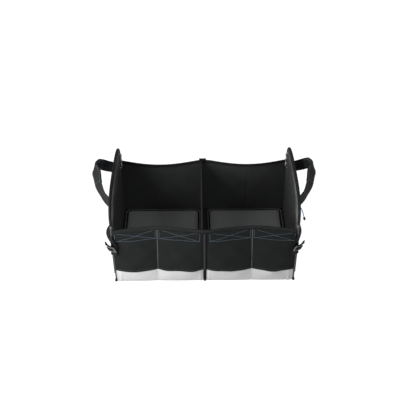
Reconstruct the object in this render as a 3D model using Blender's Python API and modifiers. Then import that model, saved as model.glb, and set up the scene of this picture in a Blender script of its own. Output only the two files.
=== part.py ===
# Folding car storage box with two compartments, arched side walls, front pockets and webbing handles.
# Metres, +Z up, +X to the right, front towards -Y. The origin is the middle of the underside.
import math

import bmesh
import bpy
from mathutils import Vector

# Overall size
box_width = 0.600
box_depth = 0.420
front_height = 0.202
back_height = 0.217
shoulder_height = 0.222
crown_height = 0.311
arch_power = 2.9
wall_columns = 20
wall_rows = 9
arch_steps = 20
arch_rows = 4

# How the side walls lean outwards at the crown, at the front and at the back
lean_front = 0.012
lean_back = 0.006

# Cloth and board thicknesses, and the clearance between sewn pieces
gap = 0.0003
base_thickness = 0.004
side_thickness = 0.005
wall_thickness = 0.003
divider_thickness = 0.004
pocket_thickness = 0.0016
binding_thickness = 0.001
binding_leg = 0.007
binding_flat_share = 0.6
piping_radius = 0.002

# Upright folds of the front and back walls, one in the middle of each compartment
fold_place = 0.157
fold_start = 0.018
front_fold = 0.023
back_fold = 0.030
divider_place = -0.009

# Floor boards
board_width = 0.276
board_depth = 0.402
board_thickness = 0.010
board_corner = 0.018
board_from_middle = 0.0125
rim_radius = 0.002

# Front pockets
pocket_bulge = 0.013
pocket_mouth = 0.004
pocket_drop = 0.0085
pocket_low_share = 0.6
pocket_roundness = 0.8
pocket_foot = 0.0008
band_height = 0.046
centre_strip_width = 0.008
centre_strip_thickness = 0.003
strip_foot = 0.0015
seam_foot = 0.004
seam_tape_width = 0.004
seam_tape_thickness = 0.001

# Handles
webbing_thickness = 0.0024
handle_webbing = 0.038
handle_height = 0.250
handle_reach = 0.0565
handle_rise = 0.062
handle_tilt = 42.0
handle_half_span = 0.160
handle_sewn = 0.040
handle_steps = 28
handle_bends = ((0.05, 0.67), (0.30, 0.635), (0.72, 0.414), (1.0, 0.222), (1.0, 0.0))
handle_rise_power = 1.5
handle_twist_power = 3
grip_width_share = 0.94
grip_first_step = 10
grip_thickness = 0.0026

# Buckles and their straps
strap_webbing = 0.025
strap_thickness = 0.0013
buckle_width = 0.036
buckle_height = 0.0225
buckle_thickness = 0.004
buckle_bar = 0.0034
buckle_rise = 0.142
buckle_turn = 35.0
buckle_shift = 0.008
loop_foot_drop = 0.022
loop_bend = 0.0008
strap_top = 0.212
strap_edge = 0.004
strap_slack = 0.010
strap_steps = 12
tail_rise = 0.024
tail_reach = 0.021
tail_side = 0.014
tail_shares = (0.15, 0.4, 0.7, 1.0)

# Tab, rivets and lashing strips
tab_width = 0.025
tab_leg = 0.022
tab_place = -0.004
tab_proud = 0.004
rivet_radius = 0.0034
rivet_depth = 0.0026
lash_width = 0.012
lash_height = 0.0032
lash_low = shoulder_height - 0.002
lash_high = crown_height - 0.032
lash_place = 0.158
lash_loops = 3
lash_roundness = 0.7

# Zip on the right side wall
zip_below_handle = 0.010
zip_front = -0.100
zip_back = 0.130
zip_end = 0.004
zip_tape_width = 0.018
zip_height = handle_height - handle_webbing / 2 - zip_below_handle - zip_tape_width / 2
zip_tape_thickness = 0.001
teeth_width = 0.004
teeth_thickness = 0.0016
zip_pocket_drop = 0.105
zip_pocket_bulge = 0.006
zip_pocket_roundness = 0.7
slider_place = -0.086
slider_length = 0.012
slider_width = 0.009
slider_thickness = 0.0046
slider_roof = 0.0016
bail_radius = 0.0036
bail_wire = 0.0007
cord_radius = 0.00125
pull_end_radius = 0.0026
pull_end_length = 0.012

parts = bpy.data.collections.new("car_storage_box")
cutters = bpy.data.collections.new("cutters")


def clear_scene():
    for old in list(bpy.data.objects):
        bpy.data.objects.remove(old, do_unlink=True)
    for collection in (parts, cutters):
        bpy.context.scene.collection.children.link(collection)


def material(name, colour, roughness, metallic=0.0):
    made = bpy.data.materials.new(name)
    made.use_nodes = True
    shader = made.node_tree.nodes["Principled BSDF"]
    shader.inputs["Base Color"].default_value = (*colour, 1.0)
    shader.inputs["Roughness"].default_value = roughness
    shader.inputs["Metallic"].default_value = metallic
    return made


def black_fabric(name):
    return material(name, (0.014, 0.015, 0.015), 0.85)


def webbing(name):
    return material(name, (0.009, 0.009, 0.010), 0.8)


# Adds a finished object to the model under its own name and material
def add(name, data, finish):
    obj = bpy.data.objects.new(name, data)
    parts.objects.link(obj)
    data.materials.append(finish)
    return obj


# A cloth piece: a grid whose points are moved by place(s, t), then given its thickness
def sheet(name, columns, rows, place, thickness, finish):
    bm = bmesh.new()
    bmesh.ops.create_grid(bm, x_segments=columns, y_segments=rows, size=0.5)
    for vert in bm.verts:
        vert.co = place(vert.co.x + 0.5, vert.co.y + 0.5)
    mesh = bpy.data.meshes.new(name)
    bm.to_mesh(mesh)
    bm.free()
    obj = add(name, mesh, finish)
    solid = obj.modifiers.new("cloth", "SOLIDIFY")
    solid.thickness = thickness
    solid.offset = 0.0
    solid.use_even_offset = True
    mesh.shade_smooth()
    mesh.set_sharp_from_angle(angle=math.radians(30))
    return obj


# A round cord or piping along a list of points
def tube(name, points, radius, finish, closed=False, sides=2):
    curve = bpy.data.curves.new(name, "CURVE")
    curve.dimensions = "3D"
    curve.bevel_depth = radius
    curve.bevel_resolution = sides
    curve.use_fill_caps = not closed
    spline = curve.splines.new("POLY")
    spline.points.add(len(points) - 1)
    for point, co in zip(spline.points, points):
        point.co = (*co, 1.0)
    spline.use_cyclic_u = closed
    return add(name, curve, finish)


# A block of material with softened edges, placed by its middle
def block_mesh(name, size, bevel, steps=1):
    bm = bmesh.new()
    bmesh.ops.create_cube(bm, size=1.0)
    bmesh.ops.scale(bm, vec=size, verts=bm.verts)
    bmesh.ops.bevel(bm, geom=bm.edges, offset=bevel, segments=steps, affect="EDGES", profile=0.5)
    mesh = bpy.data.meshes.new(name)
    bm.to_mesh(mesh)
    bm.free()
    return mesh


def cutter(name, mesh):
    obj = bpy.data.objects.new(name, mesh)
    cutters.objects.link(obj)
    obj.hide_render = True
    obj.display_type = "WIRE"
    return obj


def boolean(obj, other, operation):
    mod = obj.modifiers.new(operation.lower(), "BOOLEAN")
    mod.operation = operation
    mod.object = other


# A smooth curve through route points, read at s from 0 to 1
def along(route, s):
    spans = len(route) - 1
    place = min(max(s, 0.0), 1.0) * spans
    index = min(int(place), spans - 1)
    u = place - index
    before = route[max(index - 1, 0)]
    here = route[index]
    there = route[index + 1]
    after = route[min(index + 2, spans)]
    bend = 2 * before - 5 * here + 4 * there - after
    twist = 3 * here - before - 3 * there + after
    return 0.5 * (2 * here + (there - before) * u + bend * u * u + twist * u * u * u)


# Outer face of the right side wall: it leans out more at the front than at the back
def side_face(y, z):
    share = y / box_depth + 0.5
    lean = lean_front + (lean_back - lean_front) * share
    return box_width / 2 + lean * z / crown_height


# A point of the arch over the side wall, s from the front shoulder to the back shoulder
def arch(s):
    angle = math.pi * (s - 0.5)
    y = math.copysign(abs(math.sin(angle)) ** (2 / arch_power), angle) * box_depth / 2
    rise = max(math.cos(angle), 0.0) ** (2 / arch_power)
    return y, shoulder_height + (crown_height - shoulder_height) * rise


# How far a fold has come in at x: none at the ends and at the divider, all at the fold, rounded there
def fold_share(x):
    end = box_width / 2 - side_thickness
    if abs(x) <= fold_place:
        ramp = max(abs(x) - fold_start, 0.0) / (fold_place - fold_start)
    else:
        ramp = (end - min(abs(x), end)) / (end - fold_place)
    return math.sin(math.pi / 2 * ramp)


# Middle surface of the front wall (sign -1) or the back wall (sign 1)
def wall_middle(x, z, sign):
    height = front_height if sign < 0 else back_height
    fold = front_fold if sign < 0 else back_fold
    inset = wall_thickness / 2 + fold * fold_share(x) * z / height
    return Vector((x, sign * (box_depth / 2 - inset), z))


# Half length of a front or back wall between the side walls at height z
def wall_reach(z, sign):
    return side_face(sign * box_depth / 2, z) - side_thickness - 2 * gap


# Columns of a wall: the steps are even on each side of a fold, which falls on a column
def wall_column(s, z, sign):
    side = 1.0 if s > 0.5 else -1.0
    column = abs(s - 0.5) * wall_columns
    fold_column = wall_columns // 4
    if column <= 1:
        return side * fold_start * column
    if column <= fold_column:
        return side * (fold_start + (fold_place - fold_start) * (column - 1) / (fold_column - 1))
    outer = (column - fold_column) / fold_column
    return side * (fold_place + (wall_reach(z, sign) - fold_place) * outer)


def make_base(finish):
    size = Vector((box_width, box_depth, base_thickness))
    base = add("base_sheet", block_mesh("base_sheet", size, 0.001), finish)
    base.location.z = base_thickness / 2
    return base


# Side, node name and height of the front and the back wall's pieces
def walls_of(piece):
    return (-1, f"front_{piece}", front_height), (1, f"back_{piece}", back_height)


def make_walls(finish):
    foot = base_thickness + gap
    for sign, name, height in walls_of("wall"):

        def place(s, t, sign=sign, height=height):
            even = t * wall_rows / (wall_rows - 1)
            z = height if t == 1 else foot + even * (height - binding_leg - foot)
            return wall_middle(wall_column(s, z, sign), z, sign)

        sheet(name, wall_columns, wall_rows, place, wall_thickness, finish)


def make_sides(finish):
    foot = base_thickness + gap
    for hand, name in ((-1, "side_wall_left"), (1, "side_wall_right")):

        def place(s, t, hand=hand):
            y, top = arch(s)
            z = foot + t * (top - foot)
            return Vector((hand * (side_face(y, z) - side_thickness / 2), y, z))

        sheet(name, arch_steps, arch_rows, place, side_thickness, finish)


# Height of the divider's top edge, which runs straight from the front wall's top to the back wall's
def divider_top(y):
    share = y / box_depth + 0.5
    return front_height + (back_height - front_height) * share - 2 * (gap + binding_thickness)


def divider_reach():
    return box_depth / 2 - wall_thickness - 2 * (binding_thickness + gap) - gap


def make_divider(finish):
    foot = base_thickness + gap

    def place(s, t):
        y = (2 * s - 1) * divider_reach()
        return Vector((divider_place, y, foot + t * (divider_top(y) - foot)))

    sheet("divider", 8, 3, place, divider_thickness, finish)


# A tape folded over a sheet's edge: edge(s, d) is the sheet's middle, d below its edge
def fold_over(name, columns, edge, normal, inner, leg, finish, near_leg=None):
    half = inner + gap + binding_thickness / 2
    lift = 3 * gap + binding_thickness / 2
    profile = (
        (-half, leg if near_leg is None else near_leg),
        (-half, -gap),
        (-binding_flat_share * half, -lift),
        (binding_flat_share * half, -lift),
        (half, -gap),
        (half, leg),
    )

    def place(s, t):
        across, down = profile[round(t * (len(profile) - 1))]
        return edge(s, down) + normal * across

    return sheet(name, columns, len(profile) - 1, place, binding_thickness, finish)


def make_edge_bindings(finish):
    for sign, name, height in walls_of("top_binding"):

        def edge(s, d, sign=sign, height=height):
            z = height - d
            column = wall_column(s, height, sign)
            return wall_middle(column * (1 - gap / wall_reach(z, sign)), z, sign)

        inner = wall_thickness / 2
        fold_over(name, wall_columns, edge, Vector((0, 1, 0)), inner, binding_leg, finish)

    def divider_edge(s, d):
        y = (2 * s - 1) * divider_reach()
        return Vector((divider_place, y, divider_top(y) - d))

    inner = divider_thickness / 2
    fold_over("divider_binding", 8, divider_edge, Vector((1, 0, 0)), inner, binding_leg, finish)

    step = 0.25 / arch_steps
    for hand, name in ((-1, "side_binding_left"), (1, "side_binding_right")):

        def arch_edge(s, d, hand=hand):
            y, z = arch(s)
            y0, z0 = arch(max(s - step, 0.0))
            y1, z1 = arch(min(s + step, 1.0))
            along_edge = Vector((0, y1 - y0, z1 - z0)).normalized()
            inward = Vector((0, along_edge.z, -along_edge.y))
            spot = Vector((0, y, z)) + inward * d
            spot.x = hand * (side_face(spot.y, spot.z) - side_thickness / 2)
            return spot

        fold_over(name, arch_steps, arch_edge, Vector((1, 0, 0)), side_thickness / 2, binding_leg, finish)


# The rivet sits at the top of the front corner, under the arch's binding
def rivet_height():
    return shoulder_height - rivet_radius - 2 * gap


def make_corner_piping(finish):
    foot = binding_thickness + gap
    for sign, where in ((-1, "front"), (1, "back")):
        top = rivet_height() - rivet_radius - gap if sign < 0 else shoulder_height - gap
        for hand, side in ((-1, "left"), (1, "right")):
            points = []
            for step in range(7):
                z = foot + (top - foot) * step / 6
                y = sign * (box_depth / 2 + gap + piping_radius)
                x = side_face(sign * box_depth / 2, z) - piping_radius
                points.append(Vector((hand * x, y, z)))
            tube(f"corner_piping_{where}_{side}", points, piping_radius, finish)


# Outer middle surface of a pocket panel, with u from 0 at the centre strip to 1 at the corner piping
def pocket_surface(u, z, hand):
    inner = centre_strip_width / 2 + gap
    outer = side_face(-box_depth / 2, z) - 2 * piping_radius - 2 * gap
    if u <= 0.5:
        x = inner + (fold_place - inner) * u * 2
    else:
        x = fold_place + (outer - fold_place) * (u - 0.5) * 2
    top = front_height - pocket_drop
    share = min(max(z / top, 0.0), 1.0)
    belly = math.sin(math.pi * share**pocket_low_share)
    swell = math.sin(math.pi * (2 * u % 1.0)) ** pocket_roundness
    out = (pocket_bulge * belly + pocket_mouth * share) * swell
    wall = wall_middle(x, z, -1)
    wall.y -= wall_thickness / 2 + gap + pocket_thickness / 2 + out
    wall.x *= hand
    return wall


def make_pockets(dark, pale):
    top = front_height - pocket_drop
    foot = pocket_foot
    for hand, side in ((-1, "left"), (1, "right")):

        def panel(s, t, hand=hand):
            return pocket_surface(s, band_height + gap + t * (top - band_height - gap), hand)

        def band(s, t, hand=hand):
            return pocket_surface(s, foot + t * (band_height - foot), hand)

        sheet(f"front_pocket_{side}", wall_columns, 7, panel, pocket_thickness, dark)
        sheet(f"pocket_band_{side}", wall_columns, 3, band, pocket_thickness, pale)


# Tapes over the seams: the centre strip, the pocket seams at the folds, and the back seam
def make_seam_tapes(finish, seam):
    top = front_height - pocket_drop
    half = centre_strip_width / 2 - gap

    def centre(s, t):
        z = strip_foot + t * (top - strip_foot)
        y = -box_depth / 2 - gap - centre_strip_thickness / 2
        return Vector(((2 * s - 1) * half, y, z))

    sheet("front_centre_strip", 2, 4, centre, centre_strip_thickness, finish)

    for hand, side in ((-1, "left"), (1, "right")):

        def tape(s, t, hand=hand):
            z = seam_foot + t * (top - seam_foot)
            spot = pocket_surface(0.5, z, 1)
            away = (2 * s - 1) * seam_tape_width / 2
            lift = pocket_thickness / 2 + gap + seam_tape_thickness / 2
            room = pocket_surface(0.5 + abs(away) / (2 * fold_place), z, 1).y
            return Vector((hand * (spot.x + away), min(spot.y, room) - lift, z))

        sheet(f"pocket_seam_{side}", 2, 7, tape, seam_tape_thickness, seam)

    def back(s, t):
        z = strip_foot + t * (back_height - binding_leg - 2 * strip_foot)
        y = box_depth / 2 + gap + seam_tape_thickness / 2
        return Vector(((2 * s - 1) * half, y, z))

    sheet("back_centre_strip", 2, 4, back, seam_tape_thickness, finish)


def make_back_tab(finish):
    def edge(s, d):
        x = tab_place + (s - 0.5) * tab_width
        spot = wall_middle(0.0, back_height - d, 1)
        spot.x = x
        spot.z += binding_thickness + gap + tab_proud
        return spot

    inner = wall_thickness / 2 + binding_thickness + gap
    fold_over("back_tab", 2, edge, Vector((0, 1, 0)), inner, tab_leg, finish, binding_leg + tab_proud)


# A rounded rectangle as points, counter-clockwise
def rounded_outline(x0, y0, x1, y1, radius, steps):
    points = []
    corners = ((x1, y0, -90), (x1, y1, 0), (x0, y1, 90), (x0, y0, 180))
    for cx, cy, start in corners:
        middle_x = cx - math.copysign(radius, cx - (x0 + x1) / 2)
        middle_y = cy - math.copysign(radius, cy - (y0 + y1) / 2)
        for step in range(steps + 1):
            angle = math.radians(start + 90 * step / steps)
            points.append((middle_x + radius * math.cos(angle), middle_y + radius * math.sin(angle)))
    return points


def make_floor_boards(finish, piping):
    low = base_thickness + gap
    rim = 2 * rim_radius + gap
    for hand, side in ((-1, "left"), (1, "right")):
        x0 = min(hand * board_from_middle, hand * (board_from_middle + board_width))
        x1 = x0 + board_width
        y1 = board_depth / 2
        curve = bpy.data.curves.new(f"floor_board_{side}", "CURVE")
        curve.dimensions = "2D"
        curve.fill_mode = "BOTH"
        curve.extrude = board_thickness / 2
        outline = rounded_outline(x0 + rim, rim - y1, x1 - rim, y1 - rim, board_corner - rim, 4)
        spline = curve.splines.new("POLY")
        spline.points.add(len(outline) - 1)
        for point, (x, y) in zip(spline.points, outline):
            point.co = (x, y, 0.0, 1.0)
        spline.use_cyclic_u = True
        board = add(f"floor_board_{side}", curve, finish)
        board.location.z = low + board_thickness / 2
        weld = board.modifiers.new("weld", "WELD")
        weld.merge_threshold = 0.00005
        soft = board.modifiers.new("soft", "BEVEL")
        soft.width = 0.002
        soft.segments = 1
        soft.limit_method = "ANGLE"
        soft.angle_limit = math.radians(60)
        path = rounded_outline(
            x0 + rim_radius, rim_radius - y1,
            x1 - rim_radius, y1 - rim_radius,
            board_corner - rim_radius, 4,
        )
        ring = [Vector((x, y, low + board_thickness / 2)) for x, y in path]
        tube(f"board_piping_{side}", ring, rim_radius, piping, closed=True, sides=1)


# Direction up the side wall's outer face at a height
def side_up(y, z, half):
    lean = side_face(y, z + half) - side_face(y, z - half)
    return Vector((lean, 0, 2 * half)).normalized()


def handle_lift():
    return 2 * gap + webbing_thickness / 2


# Middle line of the right handle, from its front sewn end to its back one
def handle_route():
    lift = handle_lift()
    front = []
    for share in (0.0, 0.5, 1.0):
        y = -handle_half_span + handle_sewn * share
        front.append(Vector((side_face(y, handle_height) + lift, y, handle_height)))
    out = Vector((handle_reach, 0, handle_rise))
    for share, place in handle_bends:
        y = -handle_half_span * place
        foot = Vector((side_face(y, handle_height) + lift, y, handle_height))
        front.append(foot + Vector((out.x * share, 0, out.z * share**handle_rise_power)))
    back = []
    for spot in reversed(front[:-1]):
        y = -spot.y
        shift = side_face(y, handle_height) - side_face(spot.y, handle_height)
        back.append(Vector((spot.x + shift, y, spot.z)))
    return front + back


# The handle's width turns from upright at the wall to slanted at the grip
def handle_across(s, route):
    spot = along(route, s)
    wall = side_up(spot.y, handle_height, handle_webbing / 2)
    out = (spot.x - side_face(spot.y, handle_height) - handle_lift()) / handle_reach
    turn = math.radians(handle_tilt) * min(max(out, 0.0), 1.0) ** handle_twist_power
    lean = math.atan2(wall.x, wall.z)
    return Vector((math.sin(lean - turn), 0, math.cos(lean - turn)))


def mirrored(spot, hand):
    return Vector((hand * spot.x, spot.y, spot.z))


def make_handles(finish, grip_finish):
    route = handle_route()
    near = grip_first_step / handle_steps
    for hand, side in ((-1, "left"), (1, "right")):

        def strap(s, t, hand=hand):
            spot = along(route, s) + handle_across(s, route) * (t - 0.5) * handle_webbing
            return mirrored(spot, hand)

        def grip(s, t, hand=hand):
            u = near + s * (1 - 2 * near)
            across = handle_across(u, route)
            ahead = along(route, min(u + 0.01, 1.0)) - along(route, max(u - 0.01, 0.0))
            inward = across.cross(ahead).normalized()
            lift = webbing_thickness / 2 + 2 * gap + grip_thickness / 2
            aside = (t - 0.5) * handle_webbing * grip_width_share
            spot = along(route, u) + across * aside + inward * lift
            return mirrored(spot, hand)

        sheet(f"handle_strap_{side}", handle_steps, 2, strap, webbing_thickness, finish)
        columns = handle_steps - 2 * grip_first_step
        sheet(f"handle_grip_{side}", columns, 2, grip, grip_thickness, grip_finish)


# The corner's own directions: out along the buckle's turn, and across it
def corner_frame(z):
    turn = math.radians(buckle_turn)
    out = Vector((math.sin(turn), -math.cos(turn), 0))
    across = Vector((math.cos(turn), math.sin(turn), 0))
    x = side_face(-box_depth / 2, z) - piping_radius
    middle = Vector((x, -box_depth / 2 - gap - piping_radius, z))
    return middle - across * buckle_shift, out, across


def back_layer():
    return inner_layer() + strap_thickness + gap


def buckle_level():
    return back_layer() + strap_thickness / 2 + gap + buckle_thickness / 2


def front_layer():
    return buckle_level() + buckle_thickness / 2 + gap + strap_thickness / 2


def make_buckles(finish):
    slot = (buckle_height - 3 * buckle_bar) / 2
    shift = buckle_bar / 2 + slot / 2
    for hand, side in ((-1, "left"), (1, "right")):
        middle, out, across = corner_frame(buckle_rise)
        size = Vector((buckle_width, buckle_thickness, buckle_height))
        frame = add(f"buckle_{side}", block_mesh(f"buckle_{side}", size, 0.0009), finish)
        hole = Vector((strap_webbing + 0.002, buckle_thickness * 3, slot))
        for sign, name in ((-1, "low"), (1, "high")):
            slot_cutter = cutter(f"slot_{name}_{side}", block_mesh(f"slot_{name}_{side}", hole, 0.0006))
            slot_cutter.location.z = sign * shift
            slot_cutter.parent = frame
            boolean(frame, slot_cutter, "DIFFERENCE")
        frame.location = mirrored(middle + out * buckle_level(), hand)
        frame.rotation_euler.z = hand * math.radians(buckle_turn)


# Level of the corner strap, flat against the corner piping, behind the loop that holds the buckle
def inner_layer():
    return piping_radius + 3 * gap + strap_thickness / 2


# The loop as points (out, up, aside): up behind the low bar, over the middle one, behind the top one
def threaded_loop():
    back = back_layer()
    front = front_layer()
    edge = buckle_bar / 2 + loop_bend
    far = buckle_height / 2 - buckle_bar - loop_bend
    top = buckle_rise + buckle_height / 2
    points = [
        Vector((back, buckle_rise - far - loop_foot_drop, 0)),
        Vector((back, buckle_rise - far, 0)),
        Vector((front, buckle_rise - edge, 0)),
        Vector((front, buckle_rise + edge, 0)),
        Vector((back, buckle_rise + far, 0)),
        Vector((back, top, 0)),
    ]
    for share in tail_shares:
        aside = tail_side * share**2
        points.append(Vector((back + tail_reach * share, top + tail_rise * share, aside)))
    return points


def make_buckle_webbing(finish):
    loop = threaded_loop()
    low = loop[0].y
    leave = buckle_rise + buckle_height / 2
    for hand, side in ((-1, "left"), (1, "right")):

        def loop_place(s, t, hand=hand):
            spot = loop[round(s * (len(loop) - 1))]
            middle, out, across = corner_frame(buckle_rise)
            middle.z = spot.y
            place = middle + out * spot.x + across * (spot.z + (t - 0.5) * strap_webbing)
            return mirrored(place, hand)

        def strap_place(s, t, hand=hand):
            z = low + (strap_top - low) * s
            share = max((z - leave) / (strap_top - leave), 0.0)
            middle, out, across = corner_frame(buckle_rise)
            y = -box_depth / 2 + strap_edge + strap_webbing / 2
            seat = Vector((side_face(y, z) + gap + strap_thickness / 2, y, z))
            ease = share * share * (3 - 2 * share)
            centre = (middle + out * inner_layer()).lerp(seat, ease)
            centre.z = z
            centre.x += strap_slack * math.sin(math.pi * share)
            turn = math.radians(buckle_turn + (90 - buckle_turn) * ease)
            wide = Vector((math.cos(turn), math.sin(turn), 0))
            return mirrored(centre + wide * (t - 0.5) * strap_webbing, hand)

        sheet(f"buckle_loop_{side}", len(loop) - 1, 1, loop_place, strap_thickness, finish)
        sheet(f"corner_strap_{side}", strap_steps, 1, strap_place, strap_thickness, finish)


# A domed rivet head, turned about its own axis and laid facing the front
def make_rivets(finish):
    for hand, side in ((-1, "left"), (1, "right")):
        z = rivet_height()
        mesh = bpy.data.meshes.new(f"corner_rivet_{side}")
        bm = bmesh.new()
        steps = 4
        previous = None
        for step in range(steps + 1):
            angle = math.pi / 2 * step / steps
            across = rivet_radius * math.cos(angle)
            up = rivet_depth * 0.4 + rivet_depth * 0.6 * math.sin(angle)
            vert = bm.verts.new((across if step < steps else 0.0, 0, up))
            if previous:
                bm.edges.new((vert, previous))
            previous = vert
        low = bm.verts.new((rivet_radius, 0, 0))
        middle = bm.verts.new((0, 0, 0))
        bm.verts.ensure_lookup_table()
        bm.edges.new((bm.verts[0], low))
        bm.edges.new((low, middle))
        bm.to_mesh(mesh)
        bm.free()
        rivet = add(f"corner_rivet_{side}", mesh, finish)
        turn = rivet.modifiers.new("turn", "SCREW")
        turn.angle = math.radians(360)
        turn.steps = 14
        turn.render_steps = 14
        turn.use_merge_vertices = True
        turn.merge_threshold = 0.00005
        x = side_face(-box_depth / 2, z) - side_thickness / 2
        rivet.location = (hand * x, -box_depth / 2 - gap, z)
        rivet.rotation_euler.x = math.radians(90)


# A webbing strip sewn down between small loops, on the inner face near the top
def make_lash_strips(finish):
    for hand, side in ((-1, "left"), (1, "right")):

        def place(s, t, hand=hand):
            z = lash_low + (lash_high - lash_low) * s
            y = lash_place + (t - 0.5) * lash_width
            swell = abs(math.sin(math.pi * lash_loops * s)) ** lash_roundness
            lift = gap + strap_thickness / 2 + lash_height * swell
            return Vector((hand * (side_face(y, z) - side_thickness - lift), y, z))

        sheet(f"lash_strip_{side}", lash_loops * 6, 1, place, strap_thickness, finish)


# A flat strip lying on the right side wall's outer face, with its middle surface at lift
def side_strip(name, y0, y1, z0, z1, lift, thickness, columns, rows, finish):
    def place(s, t):
        y = y0 + (y1 - y0) * s
        z = z0 + (z1 - z0) * t
        return Vector((side_face(y, z) + lift(s, t), y, z))

    return sheet(name, columns, rows, place, thickness, finish)


def make_zip(cloth, tape, teeth, metal, cord_finish, end_finish):
    tape_lift = gap + zip_tape_thickness / 2
    teeth_lift = gap * 2 + zip_tape_thickness + teeth_thickness / 2
    low = zip_height - zip_tape_width / 2
    high = zip_height + zip_tape_width / 2
    side_strip(
        "zip_tape", zip_front, zip_back, low, high,
        lambda s, t: tape_lift, zip_tape_thickness, 4, 1, tape,
    )
    half = teeth_width / 2
    side_strip(
        "zip_teeth", zip_front + zip_end, zip_back - zip_end, zip_height - half, zip_height + half,
        lambda s, t: teeth_lift, teeth_thickness, 4, 1, teeth,
    )

    def belly(s, t):
        swell = (math.sin(math.pi * s) * math.sin(math.pi * t)) ** zip_pocket_roundness
        return gap + pocket_thickness / 2 + zip_pocket_bulge * swell

    floor = zip_height - zip_pocket_drop
    side_strip("zip_pocket", zip_front, zip_back, floor, low - gap, belly, pocket_thickness, 14, 6, cloth)

    drift = side_face(zip_back, zip_height) - side_face(zip_front, zip_height)
    slope = math.atan2(drift, zip_back - zip_front)
    seat = gap * 2 + zip_tape_thickness
    size = Vector((slider_thickness, slider_length, slider_width))
    slider = add("zip_slider", block_mesh("zip_slider", size, 0.0008), metal)
    groove_depth = slider_thickness - slider_roof
    groove = Vector((groove_depth * 2, slider_length * 3, teeth_width + 2 * gap))
    groove_cutter = cutter("slider_groove", block_mesh("slider_groove", groove, 0.0001))
    groove_cutter.location.x = -slider_thickness / 2
    groove_cutter.parent = slider
    boolean(slider, groove_cutter, "DIFFERENCE")
    ring = bpy.data.meshes.new("bail")
    bm = bmesh.new()
    bmesh.ops.create_circle(bm, segments=8, radius=bail_wire)
    for vert in bm.verts:
        vert.co = Vector((bail_radius + vert.co.x, 0, vert.co.y))
    turn = math.radians(360)
    bmesh.ops.spin(
        bm, geom=bm.edges[:], cent=(0, 0, 0), axis=(0, 0, 1), angle=turn, steps=14, use_merge=True
    )
    bmesh.ops.remove_doubles(bm, verts=bm.verts, dist=0.00001)
    bmesh.ops.recalc_face_normals(bm, faces=bm.faces)
    bm.to_mesh(ring)
    bm.free()
    bail = cutter("bail", ring)
    bail.rotation_euler.x = math.radians(90)
    bail_out = slider_thickness / 2 - slider_roof / 2 + bail_radius
    bail.location = (bail_out, 0, -bail_radius * 0.6)
    bail.parent = slider
    boolean(slider, bail, "UNION")
    x = side_face(slider_place, zip_height) + seat + slider_thickness / 2
    slider.location = (x, slider_place, zip_height)
    slider.rotation_euler.z = -slope

    start = Vector((x + bail_out, slider_place, zip_height - bail_radius * 0.6))
    start.x += bail_radius + bail_wire + gap + cord_radius * 0.7
    route = [start + Vector(step) for step in cord_steps]
    points = [along(route, step / 24) for step in range(25)]
    cord = tube("zip_pull_cord", points, cord_radius, cord_finish)
    end_way = (route[-1] - route[-2]).normalized()
    first = route[-1] + end_way * gap
    end_shares = (0.0, 0.12, 0.35, 0.65, 0.9, 1.0)
    end_points = [first + end_way * pull_end_length * share for share in end_shares]
    pull_end = tube("zip_pull_end", end_points, pull_end_radius, end_finish)
    for point, width in zip(pull_end.data.splines[0].points, (0.55, 0.8, 1.0, 1.0, 0.8, 0.5)):
        point.radius = width
    return cord


# The pull cord's route from the slider, chosen by hand: out, then down
cord_steps = (
    (0.0, 0.0, 0.0),
    (0.0028, -0.0005, -0.0022),
    (0.0062, -0.0010, -0.0090),
    (0.0098, -0.0010, -0.0190),
    (0.0132, -0.0008, -0.0300),
    (0.0160, -0.0005, -0.0410),
)


def main():
    clear_scene()
    grey_fabric = material("floor fabric", (0.045, 0.047, 0.048), 0.9)
    rim = material("piping", (0.035, 0.036, 0.037), 0.7)
    make_base(black_fabric("base fabric"))
    make_walls(black_fabric("wall fabric"))
    make_sides(black_fabric("side fabric"))
    make_divider(black_fabric("divider fabric"))
    make_edge_bindings(webbing("binding"))
    make_corner_piping(rim)
    make_pockets(black_fabric("pocket fabric"), material("pale fabric", (0.62, 0.63, 0.64), 0.8))
    make_seam_tapes(webbing("seam strip"), rim)
    make_back_tab(webbing("tab webbing"))
    make_floor_boards(grey_fabric, rim)
    make_handles(webbing("handle webbing"), webbing("grip webbing"))
    make_buckles(material("buckle plastic", (0.12, 0.125, 0.13), 0.45))
    make_buckle_webbing(webbing("strap webbing"))
    make_rivets(material("rivet metal", (0.55, 0.56, 0.58), 0.3, 1.0))
    make_lash_strips(webbing("lash webbing"))
    make_zip(
        black_fabric("zip pocket fabric"),
        webbing("zip tape"),
        material("zip teeth", (0.02, 0.02, 0.022), 0.4),
        material("slider metal", (0.25, 0.26, 0.28), 0.35, 1.0),
        material("blue cord", (0.12, 0.30, 0.55), 0.7),
        material("pull end rubber", (0.01, 0.01, 0.011), 0.6),
    )


main()
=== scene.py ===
import math

import bmesh
import bpy
import numpy as np
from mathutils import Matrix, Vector


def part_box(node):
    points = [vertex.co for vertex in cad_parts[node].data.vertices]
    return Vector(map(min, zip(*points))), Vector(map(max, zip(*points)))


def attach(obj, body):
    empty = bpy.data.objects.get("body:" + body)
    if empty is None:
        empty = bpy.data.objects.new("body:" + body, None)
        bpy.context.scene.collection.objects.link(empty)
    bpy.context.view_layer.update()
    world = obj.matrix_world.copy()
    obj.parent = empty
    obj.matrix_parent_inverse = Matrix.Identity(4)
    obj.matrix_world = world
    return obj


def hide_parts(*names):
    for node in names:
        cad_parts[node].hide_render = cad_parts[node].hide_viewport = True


# Car storage box: cloth, webbing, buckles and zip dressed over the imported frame, in metres

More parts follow.
